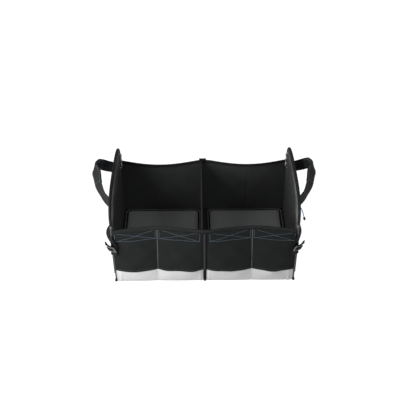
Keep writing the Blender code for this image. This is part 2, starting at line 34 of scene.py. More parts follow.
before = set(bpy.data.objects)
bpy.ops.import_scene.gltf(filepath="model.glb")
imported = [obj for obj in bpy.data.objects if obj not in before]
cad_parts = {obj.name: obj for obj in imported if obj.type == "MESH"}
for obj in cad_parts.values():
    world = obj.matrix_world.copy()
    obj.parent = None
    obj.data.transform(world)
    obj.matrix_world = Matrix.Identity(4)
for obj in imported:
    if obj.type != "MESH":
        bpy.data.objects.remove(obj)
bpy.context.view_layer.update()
hands = ((-1, "left"), (1, "right"))
rightward = (1.0, 0.0, 0.0)
forward = (0.0, -1.0, 0.0)
backward = (0.0, 1.0, 0.0)
upward = (0.0, 0.0, 1.0)

box = dict(
    width=0.600, depth=0.420, frontHeight=0.202, backHeight=0.217, shoulder=0.222, crown=0.311,
    archPower=2.9, leanFront=0.012, leanBack=0.006, gap=0.0003, foot=0.0043,
    foldPlace=0.157, foldStart=0.018, frontFold=0.023, backFold=0.030, foldSoft=0.006,
    wallThick=0.003, sideThick=0.005, pipingRadius=0.002,
)
frontFace = -box["depth"] / 2

camera = dict(
    target=(0.0131, 0.0, 0.1506),  # what the middle of the photograph shows
    azimuth=-0.74, elevation=33.96, distance=3.319, lens=82.71, sensor=36.0,
)


# The camera stands back from its target along the direction of its azimuth and elevation
def makeCamera():
    azimuth = math.radians(camera["azimuth"])
    rise = math.radians(camera["elevation"])
    back = Vector((
        math.sin(azimuth) * math.cos(rise), -math.cos(azimuth) * math.cos(rise), math.sin(rise)
    ))
    data = bpy.data.cameras.new("photoCamera")
    data.lens = camera["lens"]
    data.sensor_width = camera["sensor"]
    made = bpy.data.objects.new("photoCamera", data)
    made.location = Vector(camera["target"]) + back * camera["distance"]
    made.rotation_euler = back.to_track_quat("Z", "Y").to_euler()
    bpy.context.scene.collection.objects.link(made)
    bpy.context.scene.camera = made


makeCamera()
print("camera placed")


# Materials


clothLook = dict(
    pitch=0.0009, roughness=0.9, specular=0.12, cloudScale=22.0, fibreScale=900.0,
    weaveTone=0.3, fibreTone=0.5, threadShade=1.5, fibreHeight=0.6, bumpDistance=0.0003,
)
webbingLook = dict(
    roughness=0.75, twillLean=1.6, ribHeight=0.6, twillHeight=0.5, dustScale=60.0, dark=0.75, light=1.4,
    threadTone=0.3, threadShade=1.9, rub=0.6, rubShade=2.4, bump=0.5, bumpDistance=0.0003,
)
mouldedLook = dict(
    grainScale=1400.0, broadScale=120.0, dark=0.8, roughSpread=0.25, roughDrop=0.1,
    bump=0.15, bumpDistance=0.0002,
)


# A material with its shader's main values set
def newMaterial(name, colour, roughness, specular, metallic=0.0):
    made = bpy.data.materials.new(name)
    made.use_nodes = True
    shader = made.node_tree.nodes["Principled BSDF"]
    shader.inputs["Base Color"].default_value = (*colour, 1.0)
    shader.inputs["Roughness"].default_value = roughness
    shader.inputs["Specular IOR Level"].default_value = specular
    shader.inputs["Metallic"].default_value = metallic
    return made, made.node_tree, shader


# Each input takes another node's output, a colour or a number
def addNode(tree, kind, inputs=None, **settings):
    node = tree.nodes.new(kind)
    for key, value in settings.items():
        setattr(node, key, value)
    for key, value in (inputs or {}).items():
        if isinstance(value, bpy.types.NodeSocket):
            tree.links.new(value, node.inputs[key])
        else:
            node.inputs[key].default_value = (*value, 1.0) if isinstance(value, tuple) else value
    return node


# One sum, product or sine of inputs that are numbers or other nodes' outputs
def mathNode(tree, operation, first, second=0.0):
    return addNode(tree, "ShaderNodeMath", {0: first, 1: second}, operation=operation).outputs[0]


# Two measures added, each times its own weight
def weightedSum(tree, first, firstWeight, second, secondWeight):
    firstPart = mathNode(tree, "MULTIPLY", first, firstWeight)
    return mathNode(tree, "ADD", firstPart, mathNode(tree, "MULTIPLY", second, secondWeight))


# The sine of a measure times two pi over the pitch
def waveNode(tree, measure, pitch):
    return mathNode(tree, "SINE", mathNode(tree, "MULTIPLY", measure, 2 * math.pi / pitch))


# Noise of a place, finer as the scale grows
def noiseNode(tree, place, scale, detail, roughness=0.5):
    inputs = {"Vector": place, "Scale": scale, "Detail": detail, "Roughness": roughness}
    return addNode(tree, "ShaderNodeTexNoise", inputs).outputs["Fac"]


# A straight mix of two colours by a share
def mixColour(tree, share, first, second):
    return addNode(tree, "ShaderNodeMix", {0: share, 6: first, 7: second}, data_type="RGBA").outputs[2]


# A colour made lighter or darker by a factor
def shade(colour, factor):
    return tuple(min(channel * factor, 1.0) for channel in colour)


# A surface's own place, and its first two measures apart
def placeNodes(tree, source):
    place = addNode(tree, "ShaderNodeTexCoord").outputs[source]
    apart = addNode(tree, "ShaderNodeSeparateXYZ", {0: place})
    return place, apart.outputs[0], apart.outputs[1]


# The piece's own edge measure: 1 at a rubbed edge, and on the side walls painted light, 1 where it is
# lightest
def rubAndPaintedLight(tree):
    return addNode(tree, "ShaderNodeAttribute", attribute_name="edge").outputs["Fac"]


# The tone and a bump from the height, joined to the shader
def joinShader(tree, shader, tone, height, bump, distance):
    tree.links.new(tone, shader.inputs["Base Color"])
    lift = addNode(tree, "ShaderNodeBump", {"Strength": bump, "Distance": distance, "Height": height})
    tree.links.new(lift.outputs[0], shader.inputs["Normal"])


# Cloth: crossed threads as the product of two sines of the surface's own metres, soft mottling, rubbed edges,
# and painted light where the edge measure carries it
def clothMaterial(name, colour, mottle=0.25, rubAndLightFactor=1.6, bump=0.25, source="UV"):
    look = clothLook
    made, tree, shader = newMaterial(name, colour, look["roughness"], look["specular"])
    place, across, along = placeNodes(tree, source)
    weave = mathNode(
        tree, "MULTIPLY", waveNode(tree, across, look["pitch"]), waveNode(tree, along, look["pitch"])
    )
    cloud = noiseNode(tree, place, look["cloudScale"], 3.0, 0.6)
    fibre = noiseNode(tree, place, look["fibreScale"], 2.0, 0.7)
    tone = mixColour(tree, cloud, shade(colour, 1 - mottle), shade(colour, 1 + mottle))
    thread = weightedSum(tree, weave, look["weaveTone"], fibre, look["fibreTone"])
    tone = mixColour(tree, thread, tone, shade(colour, look["threadShade"]))
    # Rubbed edges lighten the cloth, and on the side walls the same measure lightens it as painted light
    tone = mixColour(tree, mathNode(tree, "MULTIPLY", rubAndPaintedLight(tree), cloud), tone, shade(colour, rubAndLightFactor))
    height = weightedSum(tree, weave, 1.0, fibre, look["fibreHeight"])
    joinShader(tree, shader, tone, height, bump, look["bumpDistance"])
    return made


# Webbing: fine ribs across the strap from a sine of its length, and a coarser twill from both directions
def webbingMaterial(name, colour, rib=0.0016, specular=0.15):
    look = webbingLook
    made, tree, shader = newMaterial(name, colour, look["roughness"], specular)
    place, across, along = placeNodes(tree, "UV")
    twill = waveNode(tree, weightedSum(tree, across, 1.0, along, look["twillLean"]), 2 * rib)
    height = weightedSum(tree, waveNode(tree, across, rib), look["ribHeight"], twill, look["twillHeight"])
    dust = noiseNode(tree, place, look["dustScale"], 4.0)
    tone = mixColour(tree, dust, shade(colour, look["dark"]), shade(colour, look["light"]))
    thread = mathNode(tree, "MULTIPLY", mathNode(tree, "ADD", height, 1.0), look["threadTone"])
    tone = mixColour(tree, thread, tone, shade(colour, look["threadShade"]))
    rub = mathNode(tree, "MULTIPLY", rubAndPaintedLight(tree), look["rub"])
    tone = mixColour(tree, rub, tone, shade(colour, look["rubShade"]))
    joinShader(tree, shader, tone, height, look["bump"], look["bumpDistance"])
    return made


# Moulded plastic or metal: a grained surface with scuffs that are lighter and rougher
def mouldedMaterial(name, colour, roughness, metallic=0.0, scuff=1.5, specular=0.5):
    look = mouldedLook
    made, tree, shader = newMaterial(name, colour, roughness, specular, metallic)
    place = placeNodes(tree, "Object")[0]
    broad = noiseNode(tree, place, look["broadScale"], 5.0, 0.7)
    tone = mixColour(tree, broad, shade(colour, look["dark"]), shade(colour, scuff))
    spread = mathNode(tree, "MULTIPLY", broad, look["roughSpread"])
    rough = mathNode(tree, "ADD", spread, roughness - look["roughDrop"])
    tree.links.new(rough, shader.inputs["Roughness"])
    grain = noiseNode(tree, place, look["grainScale"], 2.0)
    joinShader(tree, shader, tone, grain, look["bump"], look["bumpDistance"])
    return made


finish = dict(
    wall=clothMaterial("wallCloth", (0.029, 0.0305, 0.030)),
    # The side cloth's strong edge factor paints light into the pale band towards the side walls' rims
    side=clothMaterial("sideCloth", (0.031, 0.032, 0.032), rubAndLightFactor=6.0),
    pocket=clothMaterial("pocketCloth", (0.0072, 0.0078, 0.0078), bump=0.35),
    divider=clothMaterial("dividerCloth", (0.013, 0.014, 0.014)),
    floor=clothMaterial("floorCloth", (0.105, 0.108, 0.108), mottle=0.15, source="Object", bump=0.3),
    pale=clothMaterial("paleCloth", (0.365, 0.365, 0.368), mottle=0.06, rubAndLightFactor=0.8, bump=0.3),
    base=clothMaterial("baseCloth", (0.012, 0.012, 0.012), source="Object"),
    binding=webbingMaterial("bindingTape", (0.0075, 0.0078, 0.0078), rib=0.0012),
    rim=webbingMaterial("rimTape", (0.045, 0.046, 0.046), rib=0.0012),
    piping=webbingMaterial("pipingCord", (0.045, 0.047, 0.046), rib=0.0018),
    lash=webbingMaterial("lashWebbing", (0.22, 0.225, 0.225)),
    seamFoot=webbingMaterial("paleSeam", (0.30, 0.30, 0.303), rib=0.0018),
    handle=webbingMaterial("handleWebbing", (0.012, 0.012, 0.0125), rib=0.0022),
    strap=webbingMaterial("strapWebbing", (0.0045, 0.0045, 0.0047)),
    # Black tape made darker and duller: painted shade for the valleys beside the centre ridge
    valleyShade=webbingMaterial("valleyShadeTape", (0.0032, 0.0032, 0.0033), specular=0.07),
    ridge=webbingMaterial("ridgeTape", (0.015, 0.016, 0.0158), rib=0.0012),
    thread=webbingMaterial("blueGreyThread", (0.058, 0.080, 0.100), rib=0.0008),
    darkThread=webbingMaterial("blackThread", (0.02, 0.02, 0.021), rib=0.0008),
    buckle=mouldedMaterial("bucklePlastic", (0.062, 0.062, 0.062), 0.5),
    rivet=mouldedMaterial("rivetSteel", (0.16, 0.16, 0.165), 0.45, 0.8, scuff=1.3),
    zipCoil=mouldedMaterial("zipCoil", (0.02, 0.02, 0.021), 0.4),
    slider=mouldedMaterial("sliderMetal", (0.2, 0.21, 0.22), 0.35, 0.9),
    cord=webbingMaterial("blueCord", (0.12, 0.30, 0.62), rib=0.0012),
    rubber=mouldedMaterial("pullRubber", (0.012, 0.012, 0.012), 0.6, specular=0.3),
)
print("materials ready:", len(finish))


# Surfaces


# Vectors over their lengths
def unit(vectors):
    return vectors / np.maximum(np.linalg.norm(vectors, axis=-1, keepdims=True), 1e-12)


# Points from three coordinates, each a number or an array
def xyz(x, y, z):
    return np.stack(np.broadcast_arrays(x, y, z), -1)


# Shares across and up a sheet, as two grids
def shareGrid(columns, rows, start=0):
    return np.meshgrid(np.linspace(start, 1, columns), np.linspace(0, 1, rows))


# Metres run along a path: running sums of the steps between neighbours
def runMetres(path):
    return np.concatenate([[0.0], np.cumsum(np.linalg.norm(np.diff(path, axis=0), axis=1))])


# Points of a path at given places of its run
def pickPlaces(places, run, path):
    return np.stack([np.interp(places, run, path[:, axis]) for axis in range(path.shape[1])], -1)


# Metres along the rows and the columns of a grid, from its middle line each way
def gridMetres(points):
    rows, columns = points.shape[:2]
    return np.meshgrid(runMetres(points[rows // 2]), runMetres(points[:, columns // 2]))


# Quads of a grid as index rows; a closed grid joins its last row or column to its first
def gridFaces(rows, columns, closedRows=False, closedColumns=False):
    i = np.arange(rows if closedRows else rows - 1)[:, None]
    j = np.arange(columns if closedColumns else columns - 1)[None, :]
    here = i * columns + j
    right = i * columns + (j + 1) % columns
    above = (i + 1) % rows * columns + j
    corner = (i + 1) % rows * columns + (j + 1) % columns
    return np.stack([here, right, corner, above], axis=-1).reshape(-1, 4)


# Quads of a grid that is closed round, with a cap at each end
def cappedFaces(rows, columns):
    faces = gridFaces(rows, columns, False, True).tolist()
    faces.append(list(range(columns))[::-1])
    faces.append([(rows - 1) * columns + index for index in range(columns)])
    return faces


# A mesh from points and faces, with its own UV in metres and its edge measure
def newMesh(name, points, faces, uv, edge, material, body="box"):
    mesh = bpy.data.meshes.new(name)
    mesh.from_pydata(points.reshape(-1, 3).tolist(), [], faces)
    layer = mesh.uv_layers.new(name="UVMap")
    loops = np.zeros(len(mesh.loops), dtype=np.int32)
    mesh.loops.foreach_get("vertex_index", loops)
    layer.data.foreach_set("uv", uv.reshape(-1, 2)[loops].astype(np.float32).ravel())
    rub = mesh.attributes.new("edge", "FLOAT", "POINT")
    rub.data.foreach_set("value", edge.astype(np.float32).ravel())
    mesh.shade_smooth()
    mesh.update()
    made = bpy.data.objects.new(name, mesh)
    bpy.context.scene.collection.objects.link(made)
    mesh.materials.append(material)
    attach(made, body)
    return made


# Turns all faces outwards
def fixNormals(piece):
    work = bmesh.new()
    work.from_mesh(piece.data)
    bmesh.ops.recalc_face_normals(work, faces=work.faces)
    work.to_mesh(piece.data)
    work.free()


# Hides the frame's node that a piece stands for
def standFor(node):
    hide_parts(node)


sheet = dict(rubWidth=0.006, sharpAngle=60, strapSharpAngle=50)


# A cloth sheet from a grid of middle points, given its thickness both ways.
# Its edge measure falls straight from 1 at the rim to 0, unless another is given
def clothSheet(name, points, thick, material, edge=None):
    metresU, metresV = gridMetres(points)
    if edge is None:
        nearU = np.minimum(metresU, metresU.max() - metresU)
        nearV = np.minimum(metresV, metresV.max() - metresV)
        edge = np.clip(1 - np.minimum(nearU, nearV) / sheet["rubWidth"], 0, 1)
    faces = gridFaces(*points.shape[:2]).tolist()
    made = newMesh(name, points, faces, np.stack([metresU, metresV], -1), edge, material)
    solid = made.modifiers.new("thickness", "SOLIDIFY")
    solid.thickness = thick
    solid.offset = 0.0
    solid.use_even_offset = True
    made.data.set_sharp_from_angle(angle=math.radians(sheet["sharpAngle"]))
    return made


# A sheet sewn on a wall, standing for a node of the frame
def sewnSheet(name, points, thick, material, node):
    made = clothSheet(name, points, thick, material)
    standFor(node)


# A profile carried along a path: centre plus across times the profile's x plus outward times its y
def sweptMesh(name, centre, across, outward, profile, material, rub=None, body="box", closedPath=False):
    across = np.broadcast_to(across, centre.shape)
    outward = np.broadcast_to(outward, centre.shape)
    points = (
        centre[:, None, :]
        + across[:, None, :] * profile[None, :, 0, None]
        + outward[:, None, :] * profile[None, :, 1, None]
    )
    rows, columns = points.shape[:2]
    uv = xyz(runMetres(centre)[:, None], runMetres(profile)[None, :], 0.0)[..., :2]
    edge = np.zeros((rows, columns)) if rub is None else np.broadcast_to(rub, (rows, columns))
    faces = gridFaces(rows, columns, True, True).tolist() if closedPath else cappedFaces(rows, columns)
    made = newMesh(name, points, [face[::-1] for face in faces], uv, edge, material, body)
    fixNormals(made)
    made.data.set_sharp_from_angle(angle=math.radians(sheet["strapSharpAngle"]))
    return made


# Strap along a path: its section is a rectangle whose short sides are half circles, marked as rubbed
def strapMesh(name, centre, across, outward, width, thick, material, rubbed=True):
    angle = np.linspace(-np.pi / 2, np.pi / 2, 5)
    half = width / 2 - thick / 2
    right = np.stack([half + thick / 2 * np.cos(angle), thick / 2 * np.sin(angle)], -1)
    flat = np.linspace(1, -1, 7)[1:-1, None] * np.array([[half, 0.0]])
    lift = np.array([[0.0, thick / 2]])
    profile = np.concatenate([right, flat + lift, -right, -flat - lift])
    rub = (np.abs(profile[:, 0]) > half).astype(float) if rubbed else None
    return sweptMesh(name, centre, across, outward, profile, material, rub)


# A circle's points, evenly spaced by angle
def roundProfile(radius, count):
    angle = np.linspace(0, 2 * np.pi, count, endpoint=False)
    return radius * np.stack([np.cos(angle), np.sin(angle)], -1)


tape = dict(
    clear=0.0003, thick=0.001, flatness=0.55, leg=0.008, sideLeg=0.0075, rise=0.0006,
    below=0.007, inside=0.008, stitchOut=0.0014, stitchDrop=0.0055, sideStitchDrop=0.0052,
)


# U-shaped tape over an edge: an outer half ellipse with two legs, and the same shape inside it coming back
def bindingProfile(inner, leg, thick, nearLeg=None):
    angle = np.linspace(np.pi, 0, 9)
    outer = inner + thick
    bow = tape["flatness"] * inner
    outside = np.stack([outer * np.cos(angle), (bow + thick) * np.sin(angle)], -1)
    inside = np.stack([inner * np.cos(angle), bow * np.sin(angle)], -1)[::-1]
    near = leg if nearLeg is None else nearLeg
    foot = [[outer, -leg], [inner, -leg]]
    return np.concatenate([[[-outer, -near]], outside, foot, inside, [[-inner, -near]]])


# A smooth curve through points: the Catmull-Rom cubic of each span, evaluated for all places at once
def smoothRoute(points, count):
    route = np.asarray(points, dtype=float)
    spans = len(route) - 1
    place = np.linspace(0, spans, count)
    index = np.minimum(place.astype(int), spans - 1)
    u = (place - index)[:, None]
    before = route[np.maximum(index - 1, 0)]
    here = route[index]
    there = route[index + 1]
    after = route[np.minimum(index + 2, spans)]
    return 0.5 * (
        2 * here + (there - before) * u + (2 * before - 5 * here + 4 * there - after) * u**2
        + (3 * here - before - 3 * there + after) * u**3
    )


# The way along a path, from the points before and after
def pathWay(centre):
    return unit(np.gradient(centre, axis=0))


# A side direction carried along a path without twist: the part of a vector square to the path
def squareTo(way, vector):
    return unit(vector - way * np.sum(np.asarray(vector) * way, axis=-1, keepdims=True))


# A cord along a path: a round section that may swell and narrow
def cordMesh(name, centre, radius, material, helper=backward, sides=12, body="box"):
    way = pathWay(centre)
    radii = np.broadcast_to(radius, (len(centre),))[:, None]
    across = squareTo(way, helper)
    outward = np.cross(way, across)
    profile = roundProfile(1.0, sides)
    return sweptMesh(name, centre, across * radii, outward * radii, profile, material, body=body)


# A closed cord: the round section square to the ring's own direction, taken from its neighbours both ways
def ringCord(name, centre, radius, material):
    way = unit(np.roll(centre, -1, axis=0) - np.roll(centre, 1, axis=0))
    outward = np.cross(way, upward)
    return sweptMesh(name, centre, upward, outward, roundProfile(radius, 12), material, closedPath=True)


# Stitches: how far apart they start, how long they are, and their radius
stitchKinds = dict(
    binding=(0.0045, 0.0032, 0.0004), divider=(0.0034, 0.0032, 0.0006), hem=(0.0036, 0.003, 0.0005),
    pocket=(0.0034, 0.003, 0.0008), handle=(0.0036, 0.0031, 0.0009),
)


# Stitches along paths: each is a thin spindle whose radius is a half circle of its length, sunk at both ends
def stitchRow(name, paths, normals, material, kind):
    pitch, length, radius = stitchKinds[kind]
    centres, ways, ups = [], [], []
    for path, normal in zip(paths, normals):
        run = runMetres(path)
        places = np.arange(pitch / 2, run[-1], pitch)
        ahead = pickPlaces(places + pitch / 4, run, path)
        centres.append(pickPlaces(places, run, path))
        ways.append(unit(ahead - pickPlaces(places - pitch / 4, run, path)))
        ups.append(unit(pickPlaces(places, run, np.broadcast_to(normal, path.shape))))
    centre, way, up = (np.concatenate(rows)[:, None, None, :] for rows in (centres, ways, ups))
    side = unit(np.cross(way, up))
    rings, sides = 5, 6
    share = np.linspace(-1, 1, rings)
    angle = np.linspace(0, 2 * np.pi, sides, endpoint=False)
    swell = np.sqrt(np.clip(1 - share**2, 0.04, 1))[:, None]
    rise = radius * (swell * np.sin(angle) + 0.5 * swell - 0.2)
    points = (
        centre + way * (share * length / 2)[:, None, None]
        + up * rise[:, :, None] + side * (radius * swell * np.cos(angle))[:, :, None]
    )
    count, size = len(centre), rings * sides
    starts = (np.arange(count) * size)[:, None, None]
    caps = np.concatenate([np.arange(sides)[None, ::-1], np.arange(size - sides, size)[None, :]])
    faces = (gridFaces(rings, sides, False, True) + starts).reshape(-1, 4).tolist()
    faces += (caps + starts).reshape(-1, sides).tolist()
    uv = xyz((share * length)[:, None], angle * radius, 0.0)[..., :2]
    uv = np.broadcast_to(uv, (count, rings, sides, 2))
    made = newMesh(name, points, faces, uv, np.zeros(points.shape[:3]), material)
    fixNormals(made)
    return made


# The box's forms


# Outer face of a side wall: it leans out with height, less at the back than at the front
def sideFace(y, z):
    share = y / box["depth"] + 0.5
    lean = box["leanFront"] + (box["leanBack"] - box["leanFront"]) * share
    return box["width"] / 2 + lean * z / box["crown"]


# Arch over a side wall: a superellipse of the wall's depth and of the rise above its shoulders
def archLine(s):
    angle = np.pi * (s - 0.5)
    power = 2 / box["archPower"]
    y = np.sign(angle) * np.abs(np.sin(angle)) ** power * box["depth"] / 2
    rise = np.clip(np.cos(angle), 0, None) ** power
    return y, box["shoulder"] + (box["crown"] - box["shoulder"]) * rise


# Superellipse radius of a place on a side wall: 1 on the arch, and straight down from it below the shoulder
def archRadius(y, z):
    p = box["archPower"]
    up = np.clip(z - box["shoulder"], 0, None) / (box["crown"] - box["shoulder"])
    return ((np.abs(y) * 2 / box["depth"]) ** p + up**p) ** (1 / p)


dish = dict(depth=0.0042, start=0.84, low=0.206, high=0.240)


# How far the padded middle of a side wall stands in from its rim: a ramp of the radius, eased in by height
def rimDish(y, z):
    share = np.clip((1 - archRadius(y, z)) / (1 - dish["start"]), 0, 1)
    fade = np.clip((z - dish["low"]) / (dish["high"] - dish["low"]), 0, 1)
    return dish["depth"] * share * fade**2 * (3 - 2 * fade)


# Middle of a side wall: half its thickness in from its face, and in by the dish
def sideMiddle(y, z, hand):
    return xyz(hand * (sideFace(y, z) - box["sideThick"] / 2 - rimDish(y, z)), y, z)


# Share of a fold at x: a quarter sine from each end up to it, the inner end eased with a root of squares
def foldShare(x):
    end = box["width"] / 2 - box["sideThick"]
    past = np.abs(x) - box["foldStart"]
    inner = (past + np.sqrt(past**2 + box["foldSoft"] ** 2)) / 2 / (box["foldPlace"] - box["foldStart"])
    outer = (end - np.minimum(np.abs(x), end)) / (end - box["foldPlace"])
    return np.sin(np.pi / 2 * np.clip(np.minimum(inner, outer), 0, 1))


# Height of the front wall (sign -1) or the back wall (sign 1)
def wallHeight(sign):
    return box["frontHeight"] if sign < 0 else box["backHeight"]


# Middle of the front or back wall: its fold stands in by its share at x and in proportion to the height
def wallMiddle(x, z, sign):
    fold = box["frontFold"] if sign < 0 else box["backFold"]
    inset = box["wallThick"] / 2 + fold * foldShare(x) * z / wallHeight(sign)
    return xyz(x, sign * (box["depth"] / 2 - inset), z)


# How far a wall reaches to each side, between the side walls
def wallReach(z, sign):
    return sideFace(sign * box["depth"] / 2, z) - box["sideThick"]


# Walls


walls = dict(
    columns=241, rows=41, puff=0.00056, waveAcross=0.071, waveUp=0.093, crease=0.0016, creaseWidth=0.0028,
)
sideWall = dict(
    columns=121, rows=41, quilt=0.0007, waveAcross=0.083, waveUp=0.11,
    paintedLightStart=0.66, paintedLightFull=0.86, paintedLightLow=0.15, paintedLightRise=0.06, paintedLightBack=0.4,
)


# A folded wall: the middle surface, with a soft puff from crossed sines and a bell-shaped crease at its folds
def makeWall(name, sign, node):
    s, t = shareGrid(walls["columns"], walls["rows"], -1)
    z = box["foot"] + t * (wallHeight(sign) - box["foot"])
    x = s * wallReach(z, sign)
    points = wallMiddle(x, z, sign)
    waveAcross = np.sin(2 * np.pi * x / walls["waveAcross"] + 3 * t)
    ripple = waveAcross * np.sin(2 * np.pi * z / walls["waveUp"] + 2 * s)
    crease = np.exp(-(((np.abs(x) - box["foldPlace"]) / walls["creaseWidth"]) ** 2))
    calm = np.sin(np.pi * t) * np.clip(1 - s**8, 0, 1)
    points[..., 1] += sign * (walls["puff"] * ripple + walls["crease"] * crease) * calm
    made = clothSheet(name, points, box["wallThick"], finish["wall"])
    standFor(node)


# A side wall: a grid from its foot to the arch, every column a straight share of the arch's height.
# The cloth is lightened by painted light towards the rim, by a ramp of the arch radius, fading in with
# height, and less so in the back half
def makeSideWall(hand, side):
    s, t = shareGrid(sideWall["columns"], sideWall["rows"])
    y, top = archLine(s)
    z = box["foot"] + t * (top - box["foot"])
    points = sideMiddle(y, z, hand)
    waveAcross = np.sin(2 * np.pi * y / sideWall["waveAcross"] + 2.2 * t)
    ripple = waveAcross * np.sin(2 * np.pi * z / sideWall["waveUp"] + 1.3)
    calm = np.clip(1 - np.abs(2 * t - 1) ** 6, 0, 1) * np.clip(1 - (np.abs(y) * 2 / box["depth"]) ** 12, 0, 1)
    points[..., 0] += hand * sideWall["quilt"] * ripple * calm
    # Painted light: a pale band in the edge measure, lightest towards the rim and in the front half
    ramp = (archRadius(y, z) - sideWall["paintedLightStart"]) / (sideWall["paintedLightFull"] - sideWall["paintedLightStart"])
    rise = np.clip((z - sideWall["paintedLightLow"]) / sideWall["paintedLightRise"], 0, 1)
    pale = np.clip(ramp, 0, 1) * rise * np.where(y < 0, 1.0, sideWall["paintedLightBack"])
    made = clothSheet("sideWallCloth_" + side, points, box["sideThick"], finish["side"], edge=pale)
    standFor("side_wall_" + side)


# A tape folded over an edge, with a row of stitches along each leg
def sewBinding(name, stitchName, node, line, thick, leg, stitchDrop):
    centre, across, outward = line
    profile = bindingProfile(thick / 2 + tape["clear"], leg, tape["thick"])
    made = sweptMesh(name, centre, across, outward, profile, finish["binding"])
    standFor(node)
    faces = [np.array(across) * face for face in (-1, 1)]
    rows = [centre - outward * stitchDrop + face * (thick / 2 + tape["stitchOut"]) for face in faces]
    stitchRow(stitchName, rows, faces, finish["darkThread"], "binding")


# The line of a wall's binding, just above its top, and its outward way from a line lower on the wall
def wallTopLine(sign):
    height = wallHeight(sign)
    x = np.linspace(-1, 1, 121) * (wallReach(height, sign) - box["gap"])
    centre = wallMiddle(x, height + tape["rise"], sign)
    return centre, backward, unit(centre - wallMiddle(x, height - tape["below"], sign))


# The same along a side wall's arch: outward is away from the place a little inside it
def archTopLine(hand):
    y, z = archLine(np.linspace(0, 1, 181))
    centre = sideMiddle(y, z, hand)
    way = pathWay(centre)
    inward = unit(xyz(0.0, way[:, 2], -way[:, 1])) * tape["inside"]
    below = sideMiddle(centre[:, 1] + inward[:, 1], centre[:, 2] + inward[:, 2], hand)
    return centre, rightward, unit(centre - below)


divider = dict(x=-0.009, thick=0.004, reach=0.2041, drop=0.0026, sway=0.0012, tapeRise=0.0004)


# Divider: a sheet that sways a little, whose top runs straight from the front wall's top to the back wall's
def makeDivider():
    rise = box["backHeight"] - box["frontHeight"]
    s, t = shareGrid(61, 31, -1)
    y = s * divider["reach"]
    top = box["frontHeight"] + rise * (y / box["depth"] + 0.5) - divider["drop"]
    x = divider["x"] + divider["sway"] * np.sin(np.pi * t) * np.sin(2 * np.pi * s + 0.6)
    points = xyz(x, y, box["foot"] + t * (top - box["foot"]))
    made = clothSheet("dividerCloth", points, divider["thick"], finish["divider"])
    standFor("divider")
    centre = xyz(divider["x"], y[0], top[0] + divider["tapeRise"])
    half = divider["thick"] / 2 + tape["clear"]
    profile = bindingProfile(half, tape["leg"], tape["thick"])
    binding = sweptMesh("dividerBinding", centre, rightward, upward, profile, finish["binding"])
    standFor("divider_binding")
    ridge = centre + np.array(upward) * (tape["flatness"] * half + tape["thick"])
    stitchRow("dividerStitch", [ridge], [upward], finish["piping"], "divider")


for sign, where in ((-1, "front"), (1, "back")):
    makeWall(where + "WallCloth", sign, where + "_wall")
for sign, where in ((-1, "front"), (1, "back")):
    name = where + "TopBinding"
    sewBinding(
        name, name + "Stitch", where + "_top_binding", wallTopLine(sign),
        box["wallThick"], tape["leg"], tape["stitchDrop"],
    )
for hand, side in hands:
    makeSideWall(hand, side)
    sewBinding(
        "sideBinding_" + side, "sideBindingStitch_" + side, "side_binding_" + side, archTopLine(hand),
        box["sideThick"], tape["sideLeg"], tape["sideStitchDrop"],
    )
makeDivider()
print("walls sewn")


# Front pockets


pocket = dict(
    bulge=0.013, mouth=0.004, drop=0.0085, thick=0.0016,
    band=0.046, bandLow=0.0008, bandLap=0.001, bandIn=0.0006,
    centreWidth=0.008, columns=161, rows=45, bandRows=17, wrinkle=0.0028, pleat=0.0028,
    pleats=((0.945, 0.013, 1.0), (0.035, 0.012, 0.7)),  # place and width as shares of the band, and depth
)
hem = dict(start=0.008, end=0.992, rise=0.0022, width=0.0036, thick=0.0007, out=0.0003, stitchRise=0.0066)
stitchBox = dict(low=0.163, high=0.1925, slant=0.03, spans=((0.04, 0.479), (0.521, 0.975)))
pocketSeam = dict(width=0.003, thick=0.0012, out=0.0007, foot=0.004)
centreStrip = dict(
    width=0.0125, thick=0.003, out=0.0037, foot=0.0015, narrow=0.36, narrowTop=0.054, narrowRun=0.012,
    ridgeWidth=0.0068, ridgeThick=0.0026, ridgeOut=0.0058, ridgeShift=-0.0008,
)
pocketTop = box["frontHeight"] - pocket["drop"]


# A slanting wave over a surface: the sine of each measure times its own wave number
def slant(x, z, across, up, phase=0.0):
    return np.sin(across * x + up * z + phase)


# A pocket panel's middle: the wall's outer face pushed out by a belly and a mouth, each a half sine across
# a pocket, with creases of slanting waves and fans of cubed ones, which fade towards the foot and the mouth
def pocketSurface(u, z, hand):
    inner = pocket["centreWidth"] / 2 + box["gap"]
    outer = sideFace(frontFace, z) - 2 * box["pipingRadius"] - 2 * box["gap"]
    fold = box["foldPlace"]
    x = np.where(u <= 0.5, inner + (fold - inner) * u * 2, fold + (outer - fold) * (u - 0.5) * 2)
    share = np.clip(z / pocketTop, 0, 1)
    belly = np.sin(np.pi * share**0.6)
    swell = np.clip(np.sin(np.pi * np.mod(2 * u, 1.0)), 0, 1) ** 0.8
    crease = slant(x, z, 47, 124, hand) + 0.7 * slant(x, z, 83, -150, 1.7 * hand)
    fan = np.abs(slant(x, z, 26, 34, 0.8 * hand)) ** 3 + np.abs(slant(x, z, 31, -27, 1.9)) ** 3
    loose = np.clip(4 * share, 0, 1) * np.clip(1.25 - share, 0, 1)
    folds = pocket["wrinkle"] * (0.35 * crease + 1.5 * fan) * loose
    out = pocket["bulge"] * belly + pocket["mouth"] * share + folds
    points = wallMiddle(x, z, -1)
    points[..., 1] -= box["wallThick"] / 2 + box["gap"] + pocket["thick"] / 2 + out * swell
    points[..., 0] *= hand
    return points


# Places on a pocket panel's outer face, standing out from it by a height
def onPocket(u, z, hand, out=0.0):
    points = pocketSurface(u, z, hand)
    points[:, 1] -= pocket["thick"] / 2 + out
    return points


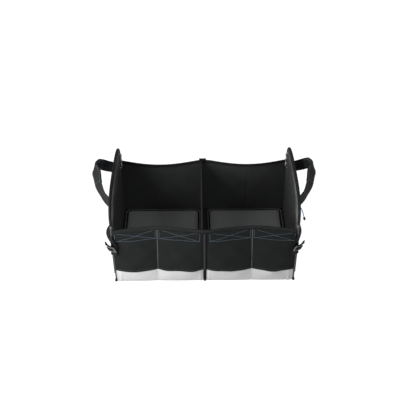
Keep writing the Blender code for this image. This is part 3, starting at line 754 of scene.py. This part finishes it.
# The panel, and the pale band below it, drawn out by bell-shaped pleats beside its ends
def makePocket(hand, side):
    u, t = shareGrid(pocket["columns"], pocket["rows"])
    points = pocketSurface(u, pocket["band"] + t * (pocketTop - pocket["band"]), hand)
    sewnSheet(
        "pocketPanel_" + side, points, pocket["thick"], finish["pocket"],
        "front_pocket_" + side,
    )
    u, t = shareGrid(pocket["columns"], pocket["bandRows"])
    points = pocketSurface(u, pocket["bandLow"] + t * (pocket["band"] + pocket["bandLap"]), hand)
    pleat = sum(depth * np.exp(-(((u - place) / width) ** 2)) for place, width, depth in pocket["pleats"])
    points[..., 1] += pocket["bandIn"] * t - pocket["pleat"] * pleat * (1 - 0.7 * t)
    sewnSheet(
        "paleBand_" + side, points, pocket["thick"], finish["pale"],
        "pocket_band_" + side,
    )


# The panel's folded hem along the top of the band, with one row of stitches above it
def makeHem(hand, side):
    u = np.linspace(hem["start"], hem["end"], 161)
    centre = onPocket(u, pocket["band"] + hem["rise"], hand, hem["out"])
    fold = strapMesh(
        "pocketHem_" + side, centre, upward, forward, hem["width"], hem["thick"], finish["base"], rubbed=False
    )
    standFor("front_pocket_" + side)
    line = onPocket(u, pocket["band"] + hem["stitchRise"], hand)
    stitchRow("hemStitch_" + side, [line], [forward], finish["piping"], "hem")


# The crossed box of stitching at each pocket's mouth: two sides, a foot and two diagonals
def makeStitchBox(hand, side):
    low, high, slope = stitchBox["low"], stitchBox["high"], stitchBox["slant"]
    share = np.linspace(0, 1, 60)
    paths = []
    for u0, u1 in stitchBox["spans"]:
        lines = (
            (u0, high, u0, low), (u1, high, u1, low), (u0, low, u1, low),
            (u0, low, u1 - slope, high), (u0 + slope, high, u1, low),
        )
        for startU, startZ, endU, endZ in lines:
            paths.append(onPocket(startU + (endU - startU) * share, startZ + (endZ - startZ) * share, hand))
    row = stitchRow("pocketStitch_" + side, paths, [forward] * len(paths), finish["thread"], "pocket")


# The seam between two pockets, pale at the band
def makePocketSeam(hand, side):
    spans = (
        ("Seam", pocket["band"], pocketTop, "piping"),
        ("Foot", pocketSeam["foot"], pocket["band"], "seamFoot"),
    )
    for part, low, high, cloth in spans:
        centre = onPocket(0.5, np.linspace(low, high, 45), hand, pocketSeam["out"])
        seam = strapMesh(
            f"pocket{part}_{side}", centre, rightward, forward,
            pocketSeam["width"], pocketSeam["thick"], finish[cloth],
        )
        standFor("pocket_seam_" + side)


# Tape down the middle of the front, narrower over the pale bands, with a raised ridge above them. The tape is
# black, darkened further as painted shade for the valleys beside the ridge
def makeCentreStrip():
    z = np.linspace(centreStrip["foot"], pocketTop, 41)
    below = np.clip((centreStrip["narrowTop"] - z) / centreStrip["narrowRun"], 0, 1)
    narrow = 1 - centreStrip["narrow"] * below
    strip = strapMesh(
        "centreStrip", xyz(0.0, frontFace - centreStrip["out"], z), np.array(rightward) * narrow[:, None],
        forward, centreStrip["width"], centreStrip["thick"], finish["valleyShade"],
    )
    z = np.linspace(pocket["band"], pocketTop, 41)
    ridge = strapMesh(
        "centreRidge", xyz(centreStrip["ridgeShift"], frontFace - centreStrip["ridgeOut"], z), rightward,
        forward, centreStrip["ridgeWidth"], centreStrip["ridgeThick"], finish["ridge"],
    )
    for piece in (strip, ridge):
        standFor("front_centre_strip")


for hand, side in hands:
    makePocket(hand, side)
    makeHem(hand, side)
for hand, side in hands:
    makeStitchBox(hand, side)
makeCentreStrip()
for hand, side in hands:
    makePocketSeam(hand, side)
print("front pockets sewn")


# Piping, rivets, tab


corner = dict(
    rivetRadius=0.0034, rivetRise=0.0026, pipingFoot=0.0013,
    tapeWidth=0.009, tapeThick=0.0026, tapeLow=0.030, tapeHigh=0.168, tapeIn=0.0015,
    endRadius=0.0042, endLow=0.0006, endHigh=0.011, endPlace=0.2985, endOut=0.0024, middleOut=0.0030,
)
rivetHeight = box["shoulder"] - corner["rivetRadius"] - 2 * box["gap"]


# Piping down the four corners, up to the rivet in front and to the shoulder behind
def makeCornerPiping():
    frontTop = rivetHeight - corner["rivetRadius"] - box["gap"]
    for sign, where, top in ((-1, "front", frontTop), (1, "back", box["shoulder"] - box["gap"])):
        y = sign * (box["depth"] / 2 + box["gap"] + box["pipingRadius"])
        z = np.linspace(corner["pipingFoot"], top, 49)
        x = sideFace(sign * box["depth"] / 2, z) - box["pipingRadius"]
        for hand, side in hands:
            name = f"cornerPiping_{where}_{side}"
            piping = cordMesh(name, xyz(hand * x, y, z), box["pipingRadius"], finish["piping"], rightward)
            standFor(f"corner_piping_{where}_{side}")


# Black tape over the side wall's front seam, and the folded ends of the bindings at the foot of the front
def makeCornerTapes():
    z = np.linspace(corner["tapeLow"], corner["tapeHigh"], 29)
    y = frontFace + corner["tapeIn"] + corner["tapeWidth"] / 2
    x = sideFace(y, z) + box["gap"] + corner["tapeThick"] / 2
    for hand, side in hands:
        strip = strapMesh(
            "cornerTape_" + side, xyz(hand * x, y, z), backward, rightward,
            corner["tapeWidth"], corner["tapeThick"], finish["binding"],
        )
    share = np.linspace(0, 1, 9)
    level = corner["endLow"] + (corner["endHigh"] - corner["endLow"]) * share
    swell = corner["endRadius"] * (1 - 0.25 * share**2)
    ends = (
        (-corner["endPlace"], corner["endOut"], "left"), (0.0, corner["middleOut"], "middle"),
        (corner["endPlace"], corner["endOut"], "right"),
    )
    for x, out, where in ends:
        centre = xyz(x, frontFace - out, level)
        end = cordMesh("seamEnd_" + where, centre, swell, finish["binding"], rightward)


# A rivet head: a flat flange and a low dome, turned about the axis that points to the front
def makeRivets():
    share = np.linspace(0, np.pi / 2, 9)
    radius = np.concatenate([[0.02, 1.0, 1.0, 0.82], 0.74 * np.cos(share)]) * corner["rivetRadius"]
    rise = np.concatenate([[0.0, 0.0, 0.22, 0.34], 0.38 + 0.62 * np.sin(share)]) * corner["rivetRise"]
    radius[-1] = corner["rivetRadius"] * 0.02
    x = sideFace(frontFace, rivetHeight) - box["sideThick"] / 2
    for hand, side in hands:
        centre = xyz(hand * x, frontFace - box["gap"] - rise, rivetHeight)
        across, outward = (np.array(way) * radius[:, None] for way in (rightward, upward))
        rivet = sweptMesh("rivet_" + side, centre, across, outward, roundProfile(1.0, 28), finish["rivet"])
        standFor("corner_rivet_" + side)


tab = dict(x=-0.004, width=0.025, leg=0.022, nearLeg=0.012, rise=0.0058, clear=0.0016, thick=0.0012)


# Webbing tab folded over the back wall's top, its longer leg outside
def makeTab():
    x = tab["x"] + np.linspace(-0.5, 0.5, 25) * tab["width"]
    centre = xyz(x, box["depth"] / 2 - box["wallThick"] / 2, box["backHeight"] + tab["rise"])
    inner = box["wallThick"] / 2 + tab["clear"]
    profile = bindingProfile(inner, tab["nearLeg"], tab["thick"], nearLeg=tab["leg"])
    made = sweptMesh("backTab", centre, forward, upward, profile, finish["strap"])
    standFor("back_tab")


makeCornerPiping()
makeCornerTapes()
makeRivets()
makeTab()
print("trim set")


# Floor boards


board = dict(
    width=0.276, depth=0.402, thick=0.010, corner=0.018, fromMiddle=0.0125, rim=0.002, rimRise=0.001,
    low=0.0043, clear=0.0006, voxel=0.005, pressure=4.0, frames=20, cap=0.003,
)


# A rounded rectangle walked by angle: quarter circles joined by straights, then evenly spaced along its run
def roundedOutline(x0, y0, x1, y1, radius):
    pieces = []
    for cornerX, cornerY, start in ((x1, y0, -90), (x1, y1, 0), (x0, y1, 90), (x0, y0, 180)):
        angle = np.radians(start + np.linspace(0, 90, 10))
        middleX = cornerX - np.copysign(radius, cornerX - (x0 + x1) / 2)
        middleY = cornerY - np.copysign(radius, cornerY - (y0 + y1) / 2)
        pieces.append(np.stack([middleX + radius * np.cos(angle), middleY + radius * np.sin(angle)], -1))
    ring = np.concatenate(pieces + [pieces[0][:1]])
    run = runMetres(ring)
    return pickPlaces(np.linspace(0, run[-1], 240, endpoint=False), run, ring)


# A padded board: rings of the outline shrunk towards its middle, over a half ellipse for the top and under it
def makeBoard(hand, side):
    x0 = min(hand * board["fromMiddle"], hand * (board["fromMiddle"] + board["width"]))
    x1 = x0 + board["width"]
    y1 = board["depth"] / 2
    height = board["low"] + board["thick"] / 2

    # The board's outline moved in by the inset, its corners tighter by as much
    def outlineAt(inset):
        return roundedOutline(x0 + inset, inset - y1, x1 - inset, y1 - inset, board["corner"] - inset)

    ring = outlineAt(2 * board["rim"] + board["clear"])
    middle = np.array([(x0 + x1) / 2, 0.0])
    angle = np.linspace(-np.pi / 2, np.pi / 2, 25)
    shrink = np.clip(np.cos(angle), 0.0, 1) ** 0.25
    shrink[0] = shrink[-1] = 0.004
    inner = middle + (ring - middle)[None, :, :] * shrink[:, None, None]
    level = height + np.sin(angle) * (board["thick"] / 2 - board["clear"])
    points = xyz(inner[..., 0], inner[..., 1], level[:, None])
    edge = np.zeros(points.shape[:2])
    faces = cappedFaces(*edge.shape)
    pad = newMesh("floorPad_" + side, points, faces, points[..., :2], edge, finish["floor"])
    fixNormals(pad)
    puffUp(pad)
    standFor("floor_board_" + side)
    loop = outlineAt(board["rim"])
    centre = xyz(loop[:, 0], loop[:, 1], height + board["rimRise"])
    piping = ringCord("boardPiping_" + side, centre, board["rim"], finish["rim"])
    standFor("board_piping_" + side)


# The pad is remeshed evenly and blown up as cloth; no point may move further than the cap
def puffUp(pad):
    bpy.context.view_layer.objects.active = pad
    even = pad.modifiers.new("even", "REMESH")
    even.mode = "VOXEL"
    even.voxel_size = board["voxel"]
    applyModifiers(pad)
    start = np.zeros(len(pad.data.vertices) * 3)
    pad.data.vertices.foreach_get("co", start)
    cloth = pad.modifiers.new("puff", "CLOTH")
    cloth.settings.quality = 5
    cloth.settings.use_pressure = True
    cloth.settings.uniform_pressure_force = board["pressure"]
    cloth.settings.effector_weights.gravity = 0.0
    cloth.point_cache.frame_start = 1
    cloth.point_cache.frame_end = board["frames"]
    for step in range(1, board["frames"] + 1):
        bpy.context.scene.frame_set(step)
    seen = pad.evaluated_get(bpy.context.evaluated_depsgraph_get())
    end = np.zeros(len(start))
    seen.data.vertices.foreach_get("co", end)
    pad.modifiers.remove(cloth)
    bpy.context.scene.frame_set(1)
    move = (end - start).reshape(-1, 3)
    far = np.linalg.norm(move, axis=1, keepdims=True)
    move *= np.minimum(1, board["cap"] / np.maximum(far, 1e-9))
    move[:, 2] *= 0.5
    pad.data.vertices.foreach_set("co", (start.reshape(-1, 3) + move).ravel())
    pad.data.shade_smooth()
    smooth = pad.modifiers.new("smooth", "SUBSURF")
    smooth.levels = 1
    smooth.render_levels = 1


# Puts what the modifiers make in the mesh's place
def applyModifiers(piece):
    seen = piece.evaluated_get(bpy.context.evaluated_depsgraph_get())
    mesh = bpy.data.meshes.new_from_object(seen)
    piece.modifiers.clear()
    piece.data = mesh


for hand, side in hands:
    makeBoard(hand, side)
print("floor boards padded")


# Handles


handle = dict(
    width=0.038, thick=0.0024, height=0.250, halfSpan=0.160, sewn=0.040, count=225,
    gripStart=80, gripThick=0.0032, gripWidth=0.94, stitchPlace=0.36,
    places=(-0.111, -0.0922, -0.0632, -0.029, 0.0),  # along the wall, as far as the middle
    reaches=(0.0063, 0.0258, 0.0429, 0.0512, 0.0613),  # out from it
    rises=(0.0008, 0.017, 0.0413, 0.062, 0.0677),
    turns=(0, 0, 0, -3.5, -4, -28.5, -41, -18.5, 0, 0, -1.5, -2, 0, 0, 0),  # degrees, end to end
)


# Middle line of the right handle: sewn flat, out and up to the grip through its bends, and back the same way
def handleRoute():
    lift = 2 * box["gap"] + handle["thick"] / 2
    half = [(-handle["halfSpan"] + handle["sewn"] * share, 0.0, 0.0) for share in (0.0, 0.5, 1.0)]
    half += list(zip(handle["places"], handle["reaches"], handle["rises"]))
    y, reach, rise = np.array(half + [(-y, reach, rise) for y, reach, rise in half[-2::-1]]).T
    points = xyz(sideFace(y, handle["height"]) + lift + reach, y, handle["height"] + rise)
    return smoothRoute(points, handle["count"])


# Across the handle's width: the wall's upright made square to the strap, then turned about it by the turns
def handleAcross(centre):
    way = pathWay(centre)
    half = handle["width"] / 2
    lean = (sideFace(0.0, handle["height"] + half) - sideFace(0.0, handle["height"] - half)) / handle["width"]
    upright = squareTo(way, [lean, 0.0, 1.0])
    turn = np.radians(smoothRoute(np.array([handle["turns"]]).T, len(centre)))
    return upright * np.cos(turn) + np.cross(way, upright) * np.sin(turn)


# A right-hand form's points or ways, turned to the left when hand is -1
def mirrorX(points, hand):
    return points * np.array([hand, 1.0, 1.0])


# A strap from right-hand lines, for either side
def handedStrap(name, lines, hand, width, thick, material):
    centre, across, outward = (mirrorX(line, hand) for line in lines)
    return strapMesh(name, centre, across, outward, width, thick, material)


# The strap, the grip lapped under its middle, and stitches along and across the grip on both faces
def makeHandles():
    centre = handleRoute()
    across = handleAcross(centre)
    outward = unit(np.cross(pathWay(centre), across))
    near, far = handle["gripStart"], handle["count"] - handle["gripStart"]
    grip = slice(near, far)
    under = handle["thick"] / 2 + 2 * box["gap"]
    faces = ((-1, under + handle["gripThick"]), (1, handle["thick"] / 2))
    rows, normals = [], []
    for share in (-handle["stitchPlace"], handle["stitchPlace"]):
        for face, out in faces:
            rows.append(centre[grip] + across[grip] * share * handle["width"] + outward[grip] * face * out)
            normals.append(outward[grip] * face)
    share = np.linspace(-handle["stitchPlace"], handle["stitchPlace"], 12)[:, None]
    for at in (near + 3, far - 4):
        for face, out in faces[::-1]:
            rows.append(centre[at] + across[at] * share * handle["width"] + outward[at] * face * out)
            normals.append(np.broadcast_to(outward[at] * face, rows[-1].shape))
    wrapCentre = centre[grip] - outward[grip] * (under + handle["gripThick"] / 2)
    for hand, side in hands:
        strap = handedStrap(
            "handleStrap_" + side, (centre, across, outward), hand,
            handle["width"], handle["thick"], finish["handle"],
        )
        standFor("handle_strap_" + side)
        wrap = handedStrap(
            "handleGrip_" + side, (wrapCentre, across[grip], outward[grip]), hand,
            handle["width"] * handle["gripWidth"], handle["gripThick"], finish["handle"],
        )
        standFor("handle_grip_" + side)
        stitching = stitchRow(
            "handleStitch_" + side, [mirrorX(row, hand) for row in rows],
            [mirrorX(normal, hand) for normal in normals], finish["thread"], "handle",
        )


makeHandles()
print("handles sewn")


# Buckles and straps


buckle = dict(
    width=0.036, height=0.0225, thick=0.004, bar=0.0034, rise=0.142, turn=35.0, shift=0.008, footDrop=0.022,
    bend=0.0008, corner=0.003, squareness=0.6, lean=20.0, roll=18.0,
    strapWidth=0.025, strapThick=0.0013, strapTop=0.212, strapFoot=0.018, strapEdge=0.004,
    slackLeft=0.010, slackRight=0.0068, tailRise=0.0175, tailReach=0.0135, tailSide=0.0095, tailTurn=34.0,
)
innerLayer = box["pipingRadius"] + 3 * box["gap"] + buckle["strapThick"] / 2
backLayer = innerLayer + buckle["strapThick"] + box["gap"]
buckleLevel = backLayer + buckle["strapThick"] / 2 + box["gap"] + buckle["thick"] / 2
frontLayer = buckleLevel + buckle["thick"] / 2 + box["gap"] + buckle["strapThick"] / 2

turn = math.radians(buckle["turn"])
cornerOut = np.array([math.sin(turn), -math.cos(turn), 0.0])
cornerAcross = np.array([math.cos(turn), math.sin(turn), 0.0])
cornerMiddle = np.array([
    sideFace(frontFace, buckle["rise"]) - box["pipingRadius"], frontFace - box["gap"] - box["pipingRadius"],
    buckle["rise"],
]) - cornerAcross * buckle["shift"]


# Offsets (out, up, across) from the buckle's foot, rolled in its plane and then leant out, by a share of each
def leanBuckle(offsets, share=1.0):
    roll = np.radians(buckle["roll"]) * share
    lean = np.radians(buckle["lean"]) * share
    out, up, side = np.asarray(offsets, dtype=float).T
    up, side = up * np.cos(roll) - side * np.sin(roll), side * np.cos(roll) + up * np.sin(roll)
    return xyz(out * np.cos(lean) + up * np.sin(lean), up * np.cos(lean) - out * np.sin(lean), side)


# The same offsets in the box's own directions
def cornerVectors(offsets):
    return offsets[:, :1] * cornerOut + offsets[:, 1:2] * np.array(upward) + offsets[:, 2:] * cornerAcross


# A ladder-lock buckle: an oval section carried round a rounded rectangle, and a middle bar with round ends
def makeBuckles():
    half = buckle["bar"] / 2
    wide, high = buckle["width"] / 2 - half, buckle["height"] / 2 - half
    foot = cornerMiddle + cornerOut * buckleLevel - np.array([0.0, 0.0, buckle["height"] / 2])
    out, up = cornerVectors(leanBuckle([(1.0, 0.0, 0.0), (0.0, 1.0, 0.0)]))
    oval = roundProfile(1.0, 16)
    section = np.sign(oval) * np.abs(oval) ** buckle["squareness"] * np.array([half, buckle["thick"] / 2])
    flat = roundedOutline(-wide, -high, wide, high, buckle["corner"])[::3]
    ring = foot + cornerVectors(leanBuckle(xyz(0.0, flat[:, 1] + buckle["height"] / 2, flat[:, 0])))
    way = unit(np.roll(ring, -1, axis=0) - np.roll(ring, 1, axis=0))
    bar = foot + cornerVectors(leanBuckle(xyz(0.0, buckle["height"] / 2, np.linspace(-1, 1, 13) * wide)))
    for hand, side in hands:
        rim = sweptMesh(
            "buckleRing_" + side, mirrorX(ring, hand), mirrorX(np.cross(way, out), hand), mirrorX(out, hand),
            section, finish["buckle"], closedPath=True,
        )
        middleBar = sweptMesh(
            "buckleBar_" + side, mirrorX(bar, hand), mirrorX(up, hand), mirrorX(out, hand),
            section * 0.96, finish["buckle"],
        )
        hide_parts("buckle_" + side)


# The loop in the corner's own directions: behind the low bar, over the middle bar, behind the top bar.
# It leans with the buckle by a share that grows from its sewn foot, and the tail leaves in its own direction
def threadedLoop():
    edge = buckle["bar"] / 2 + buckle["bend"]
    far = buckle["height"] / 2 - buckle["bar"] - buckle["bend"]
    rise = buckle["rise"]
    low = rise - buckle["height"] / 2
    foot = rise - far - buckle["footDrop"]
    route = np.array([
        (backLayer, foot, 0.0), (backLayer, rise - far - 0.006, 0.0), (backLayer, rise - far, 0.0),
        (frontLayer, rise - edge, 0.0), (frontLayer, rise + edge, 0.0), (backLayer, rise + far, 0.0),
        (backLayer, rise + buckle["height"] / 2, 0.0),
    ])
    share = np.clip((route[:, 1] - foot) / (low - foot), 0, 1)
    base = np.array([buckleLevel, low, 0.0])
    route = base + leanBuckle(route - base, share)
    part = np.array([0.15, 0.4, 0.7, 1.0])
    tail = xyz(buckle["tailReach"] * part, buckle["tailRise"] * part, buckle["tailSide"] * part**2)
    shares = np.concatenate([share, np.ones(4)])
    turns = np.concatenate([np.zeros(7), np.array([0.1, 0.5, 0.9, 1.0]) * buckle["tailTurn"]])
    extra = smoothRoute(np.stack([shares, turns], -1), 120)
    route = smoothRoute(np.concatenate([route, route[-1] + tail]), 120)
    return route, np.clip(extra[:, 0], 0, 1), np.radians(extra[:, 1])


# The corner strap: flat behind the buckle, then eased round to its seat on the side wall, standing off by a
# half sine. There it turns towards the corner, by the angle whose cosine is its distance over half its width
def cornerStrap(looseness):
    leave = buckle["rise"] + buckle["height"] / 2
    z = np.linspace(buckle["rise"] - buckle["height"] / 2 - buckle["strapFoot"], buckle["strapTop"], 60)
    share = np.clip((z - leave) / (buckle["strapTop"] - leave), 0, 1)
    y = frontFace + buckle["strapEdge"] + buckle["strapWidth"] / 2
    seat = xyz(sideFace(y, z) + box["gap"] + buckle["strapThick"] / 2, y, z)
    ease = share * share * (3 - 2 * share)
    slack = looseness * np.sin(np.pi * share**1.2)
    centre = (cornerMiddle + cornerOut * innerLayer) * (1 - ease[:, None]) + seat * ease[:, None]
    centre[:, 2] = z
    centre[:, 0] += slack
    far = np.degrees(np.arccos(np.clip(0.75 * slack / (buckle["strapWidth"] / 2), 0, 0.8)))
    bearing = np.radians(buckle["turn"] + (far - buckle["turn"]) * np.sqrt(ease))
    return centre, xyz(np.cos(bearing), np.sin(bearing), 0.0)


# A strap along a path, its width square to the path and turned about it by the twist
def webbingAlong(name, centre, wide, hand, node, twist=0.0):
    way = pathWay(centre)
    wide = squareTo(way, wide)
    outward = np.cross(way, wide)
    twist = np.broadcast_to(twist, (len(centre),))[:, None]
    across = wide * np.cos(twist) + outward * np.sin(twist)
    outward = outward * np.cos(twist) - wide * np.sin(twist)
    lines = (centre, across, outward)
    made = handedStrap(name, lines, hand, buckle["strapWidth"], buckle["strapThick"], finish["strap"])
    standFor(node)


# The threaded loop and the corner strap on both sides
def makeBuckleWebbing():
    local, share, twist = threadedLoop()
    loop = cornerMiddle * np.array([1.0, 1.0, 0.0]) + cornerVectors(local)
    wide = cornerVectors(leanBuckle(np.tile([0.0, 0.0, 1.0], (len(share), 1)), share))
    for hand, side in hands:
        strap, strapWide = cornerStrap(buckle["slackLeft" if hand < 0 else "slackRight"])
        webbingAlong("buckleLoop_" + side, loop, wide, hand, "buckle_loop_" + side, twist)
        webbingAlong("cornerStrap_" + side, strap, strapWide, hand, "corner_strap_" + side)


makeBuckles()
makeBuckleWebbing()
print("buckles threaded")


# Lashing strips


lash = dict(width=0.012, thick=0.0013, rise=0.0050, low=0.220, high=0.279, place=0.158, loops=3)


# Lashing strip: flat on the wall's inner face, standing off in loops by a raised sine of its length
def makeLashStrips():
    s = np.linspace(0, 1, 91)
    y, z = lash["place"], lash["low"] + (lash["high"] - lash["low"]) * s
    lift = box["gap"] + lash["thick"] / 2 + lash["rise"] * np.abs(np.sin(np.pi * lash["loops"] * s)) ** 0.7
    x = sideFace(y, z) - rimDish(y, z) - box["sideThick"] - lift
    for hand, side in hands:
        centre = xyz(hand * x, y, z)
        outward = np.cross(pathWay(centre), backward)
        made = strapMesh(
            "lashStrip_" + side, centre, backward, outward, lash["width"], lash["thick"], finish["lash"]
        )
        standFor("lash_strip_" + side)


makeLashStrips()
print("lashing strips sewn")


# Zip pocket and pull cord


zipPull = dict(
    height=0.212, front=-0.100, back=0.130, tape=0.018, drop=0.105, clear=0.0003,
    clothThick=0.0016, bulge=0.006,
    turns=117, coilEnd=0.004, coilOut=0.0024, coilRise=0.0017, coilDepth=0.0005, wire=0.00035,
)
pullCord = dict(
    radius=0.0016, sliderY=-0.086, startIn=0.0009, startDrop=0.0011, endLength=0.0125, endRadius=0.0042,
    endGap=0.0003,
    steps=(
        (0.0, 0.0, 0.0), (0.0028, -0.0005, -0.0022), (0.0062, -0.0010, -0.0090),
        (0.0098, -0.0010, -0.0190), (0.0132, -0.0008, -0.0300), (0.0160, -0.0005, -0.0410),
    ),
)


# Zip pocket: a sheet on the wall's outer face, lifted by the product of two half sines
def makeZipPocket():
    s, t = shareGrid(81, 41)
    y = zipPull["front"] + (zipPull["back"] - zipPull["front"]) * s
    low = zipPull["height"] - zipPull["drop"]
    z = low + (zipPull["height"] - zipPull["tape"] / 2 - zipPull["clear"] - low) * t
    swell = np.clip(np.sin(np.pi * s) * np.sin(np.pi * t), 0, 1) ** 0.7
    crease = slant(y, z, 60, 90) * slant(y, z, -40, 170)
    out = box["gap"] + zipPull["clothThick"] / 2 + zipPull["bulge"] * swell * (1 + 0.12 * crease)
    sewnSheet(
        "zipPocketCloth", xyz(sideFace(y, z) + out, y, z), zipPull["clothThick"], finish["side"],
        "zip_pocket",
    )


# Zip coil: a flattened helix along the zip, its height and depth a sine and a cosine of the turns
def makeZipCoil():
    place = np.linspace(0, 1, zipPull["turns"] * 10 + 1)
    length = zipPull["back"] - zipPull["front"] - 2 * zipPull["coilEnd"]
    y = zipPull["front"] + zipPull["coilEnd"] + length * place
    angle = 2 * np.pi * zipPull["turns"] * place
    z = zipPull["height"] + zipPull["coilRise"] * np.sin(angle)
    centre = xyz(sideFace(y, z) + zipPull["coilOut"] + zipPull["coilDepth"] * np.cos(angle), y, z)
    made = cordMesh("zipCoil", centre, zipPull["wire"], finish["zipCoil"], rightward, sides=6)
    standFor("zip_teeth")


# The cord from the slider through its steps, and an end whose radius is a raised half sine of its length
def makePullCord():
    low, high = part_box("zip_pull_cord")
    start = np.array([low[0] + pullCord["startIn"], pullCord["sliderY"], high[2] - pullCord["startDrop"]])
    points = smoothRoute(start + np.array(pullCord["steps"]), 40)
    cord = cordMesh("pullCord", points, pullCord["radius"], finish["cord"], body="slider")
    standFor("zip_pull_cord")
    way = unit(points[-1] - points[-2])
    share = np.linspace(0, 1, 25)
    radius = pullCord["endRadius"] * (0.42 + 0.58 * np.sin(np.pi * share**0.8) ** 0.6)
    centre = points[-1] + way * pullCord["endGap"] + way * pullCord["endLength"] * share[:, None]
    end = cordMesh("pullEnd", centre, radius, finish["rubber"], sides=20, body="slider")
    standFor("zip_pull_end")


makeZipPocket()
makeZipCoil()
makePullCord()
print("zip and pull cord made")


# Frame nodes that keep their shape

plainNodes = dict(base_sheet="base", back_centre_strip="base", zip_tape="base", zip_slider="slider")
for node, material in plainNodes.items():
    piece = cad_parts[node]
    piece.data.materials.clear()
    piece.data.materials.append(finish[material])


# Studio


studio = dict(
    worldStrength=0.22, floorSize=40, floorTone=0.15, floorGlow=1.0, aim=(0.0, 0.0, 0.15),
    lamps=(  # name, place, size and power
        ("keyLight", (-1.5, -0.6, 1.7), 0.9, 24.0), ("frontLight", (-0.6, -0.75, 0.35), 0.4, 6.9),
        ("fillLight", (1.2, -0.7, 1.7), 0.8, 9.0), ("topLight", (0.1, -1.2, 2.4), 1.8, 14.0),
    ),
)


# A disc lamp turned towards the studio's aim
def areaLight(name, place, size, power):
    data = bpy.data.lights.new(name, "AREA")
    data.shape = "DISK"
    data.size = size
    data.energy = power
    lamp = bpy.data.objects.new(name, data)
    lamp.location = place
    lamp.rotation_euler = (Vector(place) - Vector(studio["aim"])).to_track_quat("Z", "Y").to_euler()
    bpy.context.scene.collection.objects.link(lamp)


# A white world, disc lamps aimed at the box, and a floor that glows white, so that it shows no edge
def makeStudio():
    world = bpy.data.worlds.new("studio")
    world.use_nodes = True
    background = world.node_tree.nodes["Background"]
    background.inputs[0].default_value = (1.0, 1.0, 1.0, 1.0)
    background.inputs[1].default_value = studio["worldStrength"]
    bpy.context.scene.world = world
    for lamp in studio["lamps"]:
        areaLight(*lamp)
    bpy.ops.mesh.primitive_plane_add(size=studio["floorSize"], location=(0, 0, -0.0005))
    floor = bpy.context.object
    floor.name = "studioFloor"
    material, tree, shader = newMaterial("studioFloor", (studio["floorTone"],) * 3, 1.0, 0.0)
    shader.inputs["Emission Color"].default_value = (1.0, 1.0, 1.0, 1.0)
    shader.inputs["Emission Strength"].default_value = studio["floorGlow"]
    floor.data.materials.append(material)
    bpy.context.scene.view_settings.view_transform = "Standard"


makeStudio()
print("studio lit")
